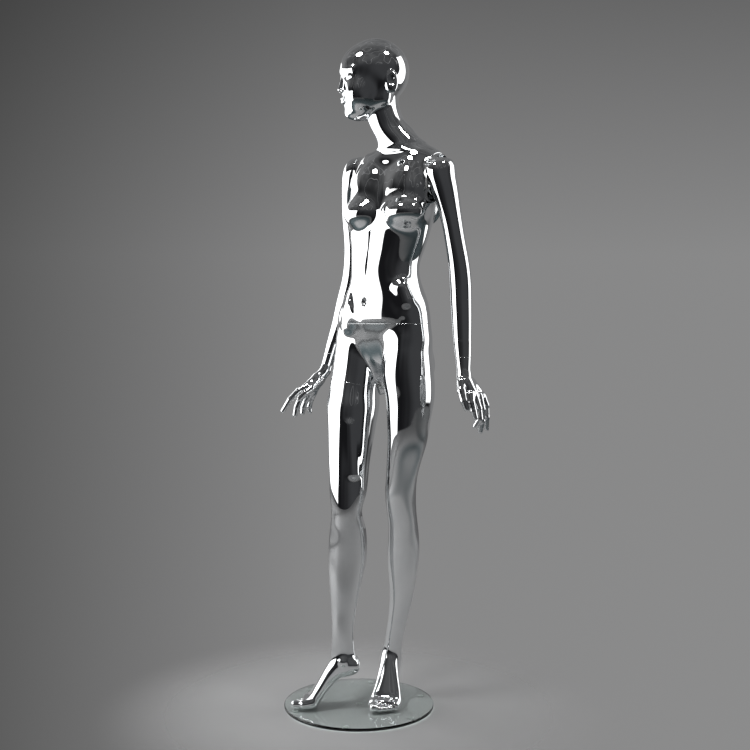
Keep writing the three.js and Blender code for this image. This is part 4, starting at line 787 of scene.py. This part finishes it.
def split(piece, field, reveal=REVEAL):
    """Cuts a piece at both edges of a seam. Returns the side above and the side below."""
    values = each(field, piece[0])
    for edge in (reveal, -reveal):
        piece = cut_at(piece, values - edge)
        values = np.concatenate([values, np.full(len(piece[0]) - len(values), edge)])
    middle = values[piece[2]].mean(1)
    return keep(piece, middle > reveal * 0.999), keep(piece, middle < -reveal * 0.999)


WRIST, WRIST_OUT = {}, {}
for side in SIDES:
    WRIST[side], WRIST_OUT[side] = wrist_seam(side)
waist_plane, thigh_plane = plane(WAIST, UP), plane(THIGH, THIGH_OUT)
wrist_planes = {side: plane(WRIST[side], WRIST_OUT[side]) for side in SIDES}
shoulder_seams = {side: shoulder_seam(side) for side in SIDES}

# ---------------------------------------------------------------- pieces of skin
skin = isosurface(figure_field, (-340, -230, -9), (412, 213, 1764), SKIN_CELL)
arms, hands = {}, {}
for side in SIDES:
    arms[side], skin = split(skin, shoulder_seams[side])
upper, lower = split(skin, waist_plane)
for side in SIDES:
    hands[side], arms[side] = split(arms[side], wrist_planes[side], WRIST_REVEAL)

# the right leg comes away below the thigh seam, on its own side of the middle
for seam in (thigh_plane, leg_seam):
    for edge in (REVEAL, -REVEAL):
        lower = cut_at(lower, each(seam, lower[0]) - edge)
centres = lower[0][lower[2]].mean(1)
below, beside = thigh_plane(centres), each(leg_seam, centres)
leg = keep(lower, (below > REVEAL) & (beside > REVEAL))
lower = keep(lower, (below < -REVEAL) | (beside < -REVEAL))


def cover(name, piece, seams, wall, body, node, depth=10.0):
    place(mesh_object(name, *rims(piece, seams, wall, depth)), body, node, "chrome_skin")


cover("upper_body_skin", upper,
      [(waist_plane, -UP, REVEAL)]
      + [(shoulder_seams[side], SHOULDER_OUT[side], REVEAL) for side in SIDES],
      6.4, "upper_body", "upper_body_shell")
cover("lower_body_skin", lower,
      [(waist_plane, UP, REVEAL), (thigh_plane, THIGH_OUT, REVEAL), (leg_seam, TO_RIGHT, REVEAL)],
      5.0, "lower_body", "lower_body_shell")
cover("right_leg_skin", leg,
      [(thigh_plane, -THIGH_OUT, REVEAL), (leg_seam, -TO_RIGHT, REVEAL)],
      5.0, "right_leg", "right_leg_shell")
for side in SIDES:
    cover(f"{side}_arm_skin", arms[side],
          [(shoulder_seams[side], -SHOULDER_OUT[side], REVEAL),
           (wrist_planes[side], WRIST_OUT[side], WRIST_REVEAL)],
          3.3, f"{side}_arm", f"{side}_arm_shell")
for side in SIDES:
    cover(f"{side}_hand_skin", hands[side],
          [(wrist_planes[side], -WRIST_OUT[side], WRIST_REVEAL)],
          9.0, f"{side}_hand_body", f"{side}_hand", depth=0.5)


# ---------------------------------------------------------------- turned fittings
def rounded(profile, radius, steps=3):
    """Rounds the corners of a closed profile of (radius, height), but not those on the axis."""
    corners = [np.array(corner, float) for corner in profile]
    out = []
    for i, corner in enumerate(corners):
        if corner[0] < 1e-6:
            out.append(corner)
            continue
        before, after = corners[i - 1], corners[(i + 1) % len(corners)]
        length_in = np.linalg.norm(before - corner)
        length_out = np.linalg.norm(after - corner)
        reach = min(radius, length_in * 0.4, length_out * 0.4)
        start = corner + (before - corner) / length_in * reach
        end = corner + (after - corner) / length_out * reach
        for j in range(steps + 1):
            t = j / steps
            out.append((1 - t) ** 2 * start + 2 * t * (1 - t) * corner + t * t * end)
    return out


def lathe(name, profile, origin, axis, segments=72, rounding=0.35):
    """A closed lathe about the axis through origin, with profile heights along the axis."""
    origin, axis = np.array(origin), unit(axis)
    u = unit(np.cross(axis, [0.31, 0.83, 0.46]))
    v = np.cross(axis, u)
    vertices, faces, rings = [], [], []
    for radius, height in rounded(profile, rounding):
        centre = origin + axis * height
        if radius < 1e-6:
            rings.append([len(vertices)] * segments)
            vertices.append(centre)
            continue
        rings.append(list(range(len(vertices), len(vertices) + segments)))
        for j in range(segments):
            angle = 2 * math.pi * j / segments
            vertices.append(centre + radius * (math.cos(angle) * u + math.sin(angle) * v))
    for i, ring in enumerate(rings):
        after = rings[(i + 1) % len(rings)]
        if ring[0] == ring[1] and after[0] == after[1]:
            continue
        for j in range(segments):
            m = (j + 1) % segments
            # a ring on the axis repeats its point, so repeats are dropped
            face = list(dict.fromkeys([ring[j], ring[m], after[m], after[j]]))
            if len(face) > 2:
                faces.append(face)
    mesh = bpy.data.meshes.new(name)
    mesh.from_pydata([tuple(point) for point in to_metres(vertices)], [], faces)
    mesh.update()
    bm = bmesh.new()
    bm.from_mesh(mesh)
    bmesh.ops.recalc_face_normals(bm, faces=bm.faces)
    bm.to_mesh(mesh)
    bm.free()
    mesh.shade_smooth()
    mesh.set_sharp_from_angle(angle=math.radians(38))
    return add_object(name, mesh)


def fitted(node, body, profile, origin, axis, slot, **options):
    place(lathe(node + "_turned", profile, origin, axis, **options), body, node, slot)


GAP, SEAM = 0.3, 0.15                           # running clearance, and half a closed seam


def lock(prefix, origin, out, radius, board, depth, base, bodies):
    """A post in a bushed socket across a seam; out points from the socket to the post.
    board: closing board thickness; base: radius of the post's foot, or 0 for none;
    bodies: those that the socket, bush and post ride on."""
    socket_body, bush_body, post_body = bodies
    seat = board + GAP + SEAM
    mouth, floor_thick = -seat, 3 * min(1, radius / 8)
    bore = radius + GAP + 2.2 * min(1, radius / 10) + GAP
    outer = bore + (2.8 if radius > 6 else 1.4)
    flange = outer + 7 if radius > 6 else outer + 1.6
    end = mouth - depth
    drain = radius * 0.6                        # radius of the hole through the socket's end
    fitted(prefix + "_socket", socket_body, [
        (bore, mouth), (flange, mouth), (flange, mouth - floor_thick),
        (outer, mouth - floor_thick), (outer, end), (drain, end),
        (drain, end + floor_thick), (bore, end + floor_thick),
    ], origin, out, "steel_fitting")
    fitted(prefix + "_bush", bush_body, [
        (radius + GAP, mouth - 0.5), (bore - GAP, mouth - 0.5),
        (bore - GAP, end + floor_thick + 0.5), (radius + GAP, end + floor_thick + 0.5),
    ], origin, out, "nylon")
    tip, chamfer = end + floor_thick + 2, radius * 0.25
    post = [(0, tip), (radius - chamfer, tip), (radius, tip + chamfer)]
    if base:                                    # a groove near the seat, and a round foot
        thick = 3
        post += [(radius, -6), (radius - 1, -5), (radius - 1, -2), (radius, -1),
                 (radius, seat), (base, seat), (base, seat + thick), (0, seat + thick)]
    else:
        post += [(radius, 14), (0, 14)]
    fitted(prefix + "_post", post_body, post, origin, out, "steel_fitting")


lock("waist", WAIST, UP, radius=14, board=4, depth=46, base=34,
     bodies=("lower_body", "waist_lock", "upper_body"))
for side in SIDES:
    lock(f"{side}_shoulder", SHOULDER[side], SHOULDER_OUT[side], radius=10, board=4, depth=34,
         base=18, bodies=("upper_body", f"{side}_shoulder_lock", f"{side}_arm"))
lock("thigh", THIGH, THIGH_OUT, radius=12, board=4, depth=40, base=26,
     bodies=("lower_body", "lower_body", "right_leg"))
for side in SIDES:
    lock(f"{side}_wrist", WRIST[side], WRIST_OUT[side], radius=4, board=3, depth=24, base=0,
         bodies=(f"{side}_arm", f"{side}_wrist_lock", f"{side}_hand_body"))

# ---------------------------------------------------------------- support rod and glass base
ROD_AT = (60, 49, 0)
ROD_RADIUS, ROD_TOP = 6, 84
PLATE_RADIUS, PLATE_THICK, BORE_RADIUS = 200.0, 8, 5
BUMPER_HEIGHT, BUMPER_CIRCLE = 3, 178
UNDER = -PLATE_THICK                            # height of the plate's underside

tube_bore, flange_bore = ROD_RADIUS + 0.4, ROD_RADIUS + GAP
fitted("foot_socket_tube", "lower_body",
       [(tube_bore, 46), (9.2, 46), (9.2, 91), (tube_bore, 91)], ROD_AT, UP, "steel_fitting")
fitted("base_flange", "base",
       [(flange_bore, 1.3), (23, 1.3), (23, 3.2), (21.5, 4.4), (12, 6.2), (9.6, 11), (9, 17),
        (flange_bore, 17)], ROD_AT, UP, "steel_fitting", segments=96, rounding=0.8)
fitted("flange_gasket", "base", [(flange_bore, 0.3), (22, 0.3), (22, 1), (flange_bore, 1)],
       ROD_AT, UP, "clear_rubber", segments=96, rounding=0.2)
fitted("support_rod", "base",
       [(0, 16), (4.3, 16), (4.3, 1.2), (ROD_RADIUS, 1.2), (ROD_RADIUS, ROD_TOP - 2),
        (ROD_RADIUS - 2, ROD_TOP), (0, ROD_TOP)], ROD_AT, UP, "chrome_rod")
fitted("clamp_bolt", "base",
       [(0, UNDER - 1.5), (3, UNDER - 1.5), (3, UNDER - 2.6), (8.5, UNDER - 2.6),
        (10, UNDER - 1.4), (10, UNDER - 1.2), (4, UNDER - 1.2), (4, 14), (0, 14)],
       ROD_AT, UP, "steel_fitting")
fitted("clamp_washer", "base",
       [(4.3, UNDER - 0.9), (14, UNDER - 0.9), (14, UNDER - 0.3), (4.3, UNDER - 0.3)],
       ROD_AT, UP, "clear_rubber", rounding=0.15)
for i in range(7):                              # six round the edge, one in the middle
    angle = math.radians(60 * i)
    reach = BUMPER_CIRCLE if i < 6 else 0
    fitted(f"bumper_{i + 1}", "base",
           [(0, 0), (6.5, 0), (8, 1.2), (8, BUMPER_HEIGHT - GAP), (0, BUMPER_HEIGHT - GAP)],
           (reach * math.cos(angle), reach * math.sin(angle), UNDER - BUMPER_HEIGHT),
           UP, "clear_rubber", segments=48, rounding=0.5)


def glass_plate():
    upper_half = [(BORE_RADIUS, 0), (6, 0), (150, 0), (PLATE_RADIUS - 4, 0),
                  (PLATE_RADIUS - 2.4, 0), (PLATE_RADIUS - 1.2, -0.25),
                  (PLATE_RADIUS - 0.45, -1.1), (PLATE_RADIUS, -2.6)]
    lower_half = [(radius, UNDER - z) for radius, z in upper_half]
    plate = lathe("glass_plate_polished", lower_half + upper_half[::-1], (0, 0, 0), UP,
                  segments=256, rounding=0.15)
    # the bore is under the rod, off the middle: the rings slide towards it, the rim stays
    mesh = plate.data
    points = np.empty(len(mesh.vertices) * 3, np.float32)
    mesh.vertices.foreach_get("co", points)
    points = points.reshape(-1, 3)
    rim, bore = PLATE_RADIUS / 1000, BORE_RADIUS / 1000
    shift = np.clip((rim - np.hypot(points[:, 0], points[:, 1])) / (rim - bore), 0, 1)
    points[:, 0] += ROD_AT[0] / 1000 * shift
    points[:, 1] += ROD_AT[1] / 1000 * shift
    mesh.vertices.foreach_set("co", points.ravel())
    mesh.update()
    place(plate, "base", "glass_plate", "base_glass")


glass_plate()


# ---------------------------------------------------------------- materials
class Nodes:
    """A short hand for building the node tree of a material or world."""
    def __init__(self, owner, output="OutputMaterial"):
        owner.use_nodes = True
        self.owner, self.tree = owner, owner.node_tree
        self.tree.nodes.clear()
        self.output = self.new(output)

    def new(self, kind, inputs=()):
        node = self.tree.nodes.new("ShaderNode" + kind)
        self.set(node, dict(inputs))
        return node

    def set(self, node, inputs):
        """Links or fills inputs; a colour of three parts is made opaque."""
        for key, value in inputs.items():
            socket = node.inputs[key]
            if isinstance(value, bpy.types.NodeSocket):
                self.tree.links.new(value, socket)
            elif socket.type == "RGBA":
                socket.default_value = (*value, 1)
            else:
                socket.default_value = value

    def surface(self, shader):
        self.set(self.output, {"Surface": shader.outputs[0]})

    def math(self, operation, first, second=0.5):
        node = self.new("Math", {0: first, 1: second})
        node.operation = operation
        return node.outputs[0]

    def noise(self, vector, scale, detail, roughness):
        return self.new("TexNoise", {"Vector": vector, "Scale": scale, "Detail": detail,
                                     "Roughness": roughness}).outputs["Fac"]

    def ramp(self, value, over, to=(0.0, 1.0), smooth=True):
        node = self.new("MapRange", {"Value": value, "From Min": over[0], "From Max": over[1],
                                     "To Min": to[0], "To Max": to[1]})
        node.interpolation_type = "SMOOTHSTEP" if smooth else "LINEAR"
        return node.outputs["Result"]

    def mix(self, factor, low, high):
        """A colour from low at factor 0 to high at factor 1."""
        node = self.new("Mix")
        node.data_type = "RGBA"
        self.set(node, {0: factor, 6: low, 7: high})
        return node.outputs[2]

    def mix_shaders(self, factor, low, high):
        return self.new("MixShader", {0: factor, 1: low.outputs[0], 2: high.outputs[0]})

    def bump(self, height, strength, distance, normal=None):
        node = self.new("Bump", {"Height": height, "Strength": strength, "Distance": distance})
        if normal is not None:
            self.set(node, {"Normal": normal})
        return node.outputs[0]

    def dot(self, vector, direction):
        node = self.new("VectorMath")
        node.operation = "DOT_PRODUCT"
        self.set(node, {0: vector, 1: direction})
        return node.outputs["Value"]

    def split(self, vector):
        return self.new("SeparateXYZ", {0: vector}).outputs


def principled(name):
    """The nodes of a new material, its shader and its object coordinates."""
    nodes = Nodes(bpy.data.materials.new(name))
    shader = nodes.new("BsdfPrincipled")
    nodes.surface(shader)
    return nodes, shader, nodes.new("TexCoord").outputs["Object"]


def chrome(name, dark, light, roughness, wave):
    """Mirror plating: faint slow waves of the moulded skin, breath-thin haze and a little dust."""
    nodes, shader, coords = principled(name)
    haze = nodes.noise(coords, scale=9, detail=3, roughness=0.55)
    specks = nodes.noise(coords, scale=420, detail=2, roughness=0.6)
    dust = nodes.ramp(specks, over=(0.70, 0.80), to=(0, 0.05))
    slow = nodes.bump(nodes.noise(coords, scale=11, detail=1.5, roughness=0.45),
                      strength=wave, distance=0.01)
    nodes.set(shader, {
        "Base Color": nodes.mix(nodes.ramp(haze, over=(0.3, 0.7)), dark, light),
        "Metallic": 1.0,
        "Roughness": nodes.math("ADD", nodes.ramp(haze, over=(0.25, 0.75), to=roughness), dust),
        "Normal": nodes.bump(nodes.noise(coords, scale=60, detail=2, roughness=0.5),
                             strength=wave * 0.04, distance=0.002, normal=slow),
    })
    return nodes.owner


def steel(name):
    """Turned steel with a grain squeezed along Z."""
    nodes, shader, coords = principled(name)
    squeezed = nodes.new("Mapping", {0: coords, "Scale": (1, 1, 12)}).outputs[0]
    grain = nodes.noise(squeezed, scale=160, detail=4, roughness=0.65)
    nodes.set(shader, {
        "Base Color": nodes.mix(grain, low=(0.48, 0.49, 0.50), high=(0.68, 0.69, 0.70)),
        "Metallic": 1.0,
        "Roughness": nodes.ramp(grain, over=(0.2, 0.8), to=(0.22, 0.42)),
        "Normal": nodes.bump(grain, strength=0.15, distance=0.0005),
    })
    return nodes.owner


def plastic(name, dark, light, roughness, scale, depth):
    nodes, shader, coords = principled(name)
    fine = nodes.noise(coords, scale=scale, detail=3, roughness=0.6)
    broad = nodes.noise(coords, scale=14, detail=2, roughness=0.5)
    nodes.set(shader, {
        "Base Color": nodes.mix(nodes.ramp(broad, over=(0.3, 0.7)), dark, light),
        "Roughness": nodes.ramp(fine, over=(0.3, 0.7), to=roughness),
        "Normal": nodes.bump(fine, strength=0.25, distance=depth),
    })
    return nodes.owner


def clear_rubber(name):
    nodes, shader, coords = principled(name)
    fine = nodes.noise(coords, scale=300, detail=3, roughness=0.6)
    nodes.set(shader, {
        "Base Color": nodes.mix(fine, low=(0.80, 0.83, 0.82), high=(0.90, 0.92, 0.91)),
        "Transmission Weight": 0.6,
        "IOR": 1.45,
        "Roughness": nodes.ramp(fine, over=(0.3, 0.7), to=(0.28, 0.4)),
        "Normal": nodes.bump(fine, strength=0.2, distance=0.0003),
    })
    return nodes.owner


def plate_glass(name):
    """Clear float glass: a faint green that deepens along the edge, with wiped smears."""
    nodes, shader, coords = principled(name)
    smear = nodes.noise(coords, scale=16, detail=4, roughness=0.6)
    nodes.set(shader, {
        "Base Color": nodes.mix(smear, low=(0.70, 0.72, 0.715), high=(0.74, 0.755, 0.75)),
        "Transmission Weight": 1.0,
        "IOR": 1.52,
        "Roughness": nodes.ramp(smear, over=(0.45, 0.8), to=(0.0, 0.03)),
    })
    green = nodes.new("VolumeAbsorption", {"Color": (0.40, 0.68, 0.62), "Density": 4.5})
    nodes.set(nodes.output, {"Volume": green.outputs[0]})
    # light passes straight through, so the plate casts only a thin shadow
    clear = nodes.new("BsdfTransparent", {"Color": (0.94, 0.97, 0.96)})
    shadow_ray = nodes.new("LightPath").outputs["Is Shadow Ray"]
    nodes.surface(nodes.mix_shaders(shadow_ray, shader, clear))
    return nodes.owner


MATERIALS = {
    "chrome_skin": chrome("mirror_chrome_skin", dark=(0.80, 0.815, 0.825),
                          light=(0.88, 0.89, 0.895), roughness=(0.008, 0.03), wave=0.05),
    "chrome_rod": chrome("polished_chrome_rod", dark=(0.78, 0.79, 0.80),
                         light=(0.84, 0.85, 0.86), roughness=(0.03, 0.07), wave=0.02),
    "steel_fitting": steel("turned_steel"),
    "board": plastic("closing_board_grey", dark=(0.42, 0.42, 0.42), light=(0.50, 0.50, 0.49),
                     roughness=(0.45, 0.65), scale=350, depth=0.0006),
    "nylon": plastic("natural_nylon", dark=(0.74, 0.72, 0.66), light=(0.80, 0.78, 0.73),
                     roughness=(0.4, 0.55), scale=500, depth=0.0003),
    "clear_rubber": clear_rubber("clear_soft_plastic"),
    "base_glass": plate_glass("float_glass_green_edge"),
}
for ob, slot in placed:
    ob.data.materials.clear()
    ob.data.materials.append(MATERIALS[slot])
for name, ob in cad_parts.items():
    if "board" in name:
        for material_slot in ob.material_slots:
            material_slot.material = MATERIALS["board"]

# ---------------------------------------------------------------- studio
YAW = math.radians(40)                     # the camera stands 40 degrees round to her left


def studio(x, y, z):
    """A point given across, away from and above the camera's ground line, in the main frame."""
    return Vector((math.cos(YAW) * x - math.sin(YAW) * y,
                   math.sin(YAW) * x + math.cos(YAW) * y, z))


def add_camera():
    data = bpy.data.cameras.new("camera")
    data.sensor_width = 36
    data.lens = 54.336
    data.clip_start, data.clip_end = 0.02, 200
    camera = add_object("camera", data)
    camera.location = studio(0.043, -2.99, 1.029 + GLASS_Z)
    down = 2.88                            # degrees below level
    camera.rotation_euler = (math.radians(90 - down), 0, YAW)
    bpy.context.scene.camera = camera


def arc_panel(name, start, end, bottom, top, far_top, lean, strength, radius=2.2, soft=0.03):
    """An upright curved lamp face, lit evenly but for its soft borders. Angles run in degrees
    from the camera side towards image left. The top rises to far_top part of the way along;
    lean widens the arc by degrees per metre of height above 1 m."""
    across, tall = 48, 12
    vertices, faces, places = [], [], []
    for i in range(across + 1):
        rise = min(max((i / across - 0.45) / 0.25, 0), 1)
        local_top = top + (far_top - top) * rise
        for j in range(tall + 1):
            z = bottom + (local_top - bottom) * j / tall
            more = (z - 1.0) * lean
            sweep = end + more - start + 0.7 * more
            angle = math.radians(start - 0.7 * more + sweep * i / across)
            vertices.append(studio(-radius * math.sin(angle), -radius * math.cos(angle), z))
            places.append((i / across, j / tall))
    for i in range(across):
        for j in range(tall):
            o = i * (tall + 1) + j
            faces.append((o, o + tall + 1, o + tall + 2, o + 1))
    mesh = bpy.data.meshes.new(name)
    mesh.from_pydata(vertices, [], faces)
    uv = mesh.uv_layers.new(name="lamp")
    for loop in mesh.loops:
        uv.data[loop.index].uv = places[loop.vertex_index]
    ob = add_object(name, mesh)

    nodes = Nodes(bpy.data.materials.new(name))
    along = nodes.split(nodes.new("TexCoord").outputs["UV"])
    fade = None
    for axis in (0, 1):
        for border in ((0, soft), (1, 1 - soft)):
            edge = nodes.ramp(along[axis], over=border)
            fade = edge if fade is None else nodes.math("MULTIPLY", fade, edge)
    nodes.surface(nodes.new("Emission", {
        "Color": (1, 1, 1), "Strength": nodes.math("MULTIPLY", fade, strength)}))
    mesh.materials.append(nodes.owner)
    ob.visible_camera = False
    ob.visible_shadow = False


def lamp(name, at, size, power):
    """A disk lamp aimed at the middle of the figure."""
    light = bpy.data.lights.new(name, "AREA")
    light.shape = "DISK"
    light.size = size
    light.energy = power
    ob = add_object(name, light)
    ob.location = studio(*at)
    aim = Vector((0, 0, 1.0)) - ob.location
    ob.rotation_euler = aim.to_track_quat("-Z", "Y").to_euler()


def seen_backdrop(nodes, window):
    """What the camera sees: a plain grey with painted shade, falling off to the left and the top.
    """
    across, height = window[0], window[1]
    # painted shade: the grey darkens towards the left edge and the top of the frame
    left = nodes.mix(nodes.ramp(across, over=(0.0, 0.42), smooth=False),
                     low=(0.108, 0.108, 0.108), high=(0.235, 0.235, 0.236))
    colour = nodes.mix(nodes.ramp(across, over=(0.42, 1.0), smooth=False),
                       low=left, high=(0.250, 0.250, 0.251))
    top = nodes.ramp(height, over=(0.66, 1.02), to=(1.0, 0.52), smooth=False)
    low = nodes.ramp(height, over=(0.05, 0.6), to=(1.04, 1.0), smooth=False)
    return nodes.new("Background", {"Color": colour, "Strength": nodes.math("MULTIPLY", top, low)})


def met_room(nodes, ray):
    """What reflections meet: a dark room, the grey backdrop behind and a dim ceiling."""
    tilt = 0.42                            # radians that the backdrop's middle is raised
    facing = nodes.dot(ray, studio(0, math.cos(tilt), math.sin(tilt)))
    height = nodes.split(ray)[2]
    stretched = nodes.new("Mapping", {0: ray, "Scale": (1, 1, 0.5)}).outputs[0]
    patches = nodes.noise(stretched, scale=1.5, detail=1, roughness=0.4)
    gloom = nodes.mix(nodes.ramp(patches, over=(0.34, 0.66)),
                      low=(0.009, 0.009, 0.010), high=(0.046, 0.047, 0.050))
    room = nodes.mix(nodes.ramp(facing, over=(0.10, 0.62)), low=gloom,
                     high=(0.215, 0.215, 0.218))
    ceiling = nodes.math("ADD", nodes.ramp(height, over=(0.24, 0.52), to=(0, 0.62)),
                         nodes.ramp(height, over=(0.50, 0.95), to=(0, 0.38)))
    drift = nodes.ramp(nodes.noise(ray, scale=3.2, detail=2, roughness=0.5),
                       over=(0.35, 0.70), to=(0.35, 1.0))
    room = nodes.mix(nodes.math("MULTIPLY", ceiling, drift), low=room,
                     high=(0.115, 0.116, 0.118))
    # loose cables and rails overhead, drawn out into long curls by the curved skin
    middle = 0.5                           # each line follows this level of the noise
    wander = nodes.noise(ray, scale=2.4, detail=1, roughness=0.4)
    bend = nodes.math("ABSOLUTE", nodes.math("SUBTRACT", wander, middle))
    rail = nodes.math("MULTIPLY", nodes.ramp(bend, over=(0.004, 0.012), to=(1, 0)),
                      nodes.ramp(height, over=(0.25, 0.42)))
    room = nodes.mix(rail, low=room, high=(0.235, 0.235, 0.24))
    return nodes.new("Background", {"Color": room, "Strength": 1.0})


def add_world():
    world = bpy.data.worlds.new("studio")
    bpy.context.scene.world = world
    nodes = Nodes(world, "OutputWorld")
    camera_ray = nodes.new("LightPath").outputs["Is Camera Ray"]
    coords = nodes.new("TexCoord").outputs
    seen = seen_backdrop(nodes, nodes.split(coords["Window"]))
    met = met_room(nodes, coords["Generated"])
    nodes.surface(nodes.mix_shaders(camera_ray, met, seen))


def floor_material():
    """Pale grey with a painted sheen in reflections, faded out with distance sooner for the camera
    than for reflections.
    """
    nodes = Nodes(bpy.data.materials.new("studio_floor"))
    coords = nodes.new("TexCoord").outputs["Object"]
    camera_ray = nodes.new("LightPath").outputs["Is Camera Ray"]
    length = nodes.new("VectorMath")
    length.operation = "LENGTH"
    nodes.set(length, {0: coords})
    distance = length.outputs["Value"]
    # as seen in the skin, the sheet has a painted sheen: pale at a glance along it and near the
    # stand, painted dim and cool from above farther out and off to one side
    pale = nodes.mix(nodes.noise(coords, scale=3, detail=4, roughness=0.6),
                     low=(0.43, 0.43, 0.43), high=(0.47, 0.47, 0.475))
    upward = nodes.split(nodes.new("NewGeometry").outputs["Incoming"])[2]
    aside = nodes.ramp(nodes.dot(coords, studio(1, 0, 0)), over=(1.5, 2.6), to=(0, 0.16))
    steep_painted_shade = nodes.ramp(nodes.math("ADD", upward, aside), over=(0.30, 0.54))
    clear = nodes.ramp(distance, over=(0.9, 1.5))
    # painted sheen: a dim cool colour for the skin to reflect where the sheet is seen from above
    painted_sheen_colour = nodes.mix(nodes.math("MULTIPLY", steep_painted_shade, clear), low=pale,
                         high=(0.10, 0.125, 0.133))
    sheet = nodes.new("BsdfDiffuse", {"Color": nodes.mix(camera_ray, low=painted_sheen_colour, high=pale)})
    near = nodes.ramp(distance, over=(0.26, 0.72), to=(1, 0))
    far = nodes.ramp(distance, over=(3.9, 4.3), to=(1, 0))
    shown = nodes.new("Mix", {0: camera_ray, 2: far, 3: near}).outputs[0]
    nodes.surface(nodes.mix_shaders(shown, nodes.new("BsdfTransparent"), sheet))
    return nodes.owner


def add_floor():
    segments = 96
    radii = [0.1, 0.25, 0.5, 0.8, 1.2, 1.8, 2.6, 3.4, 4.4]
    vertices, faces = [(0, 0, 0)], []
    for radius in radii:
        for j in range(segments):
            angle = 2 * math.pi * j / segments
            vertices.append((radius * math.cos(angle), radius * math.sin(angle), 0))
    for i in range(len(radii)):
        base = 1 + i * segments
        for j in range(segments):
            m = (j + 1) % segments
            if i == 0:
                faces.append((0, base + j, base + m))
            else:
                inner = base - segments
                faces.append((inner + j, base + j, base + m, inner + m))
    mesh = bpy.data.meshes.new("floor")
    mesh.from_pydata(vertices, [], faces)
    floor = add_object("floor", mesh)
    floor.location.z = -0.0005
    mesh.materials.append(floor_material())


add_camera()
arc_panel("key_scrim", start=56, end=146, bottom=0.30, top=2.0, far_top=2.4, lean=10,
          strength=2.6)
arc_panel("side_strip", start=-113, end=-82, bottom=0.45, top=3.3, far_top=3.3, lean=0,
          strength=2.2)
lamp("top_lamp_a", at=(-0.75, -0.75, 3.0), size=0.48, power=15)
lamp("top_lamp_b", at=(0.9, -0.7, 3.0), size=0.30, power=7)
add_world()
add_floor()

view = bpy.context.scene.view_settings
view.view_transform = "Standard"
view.look = "None"
view.exposure = 0
view.gamma = 1
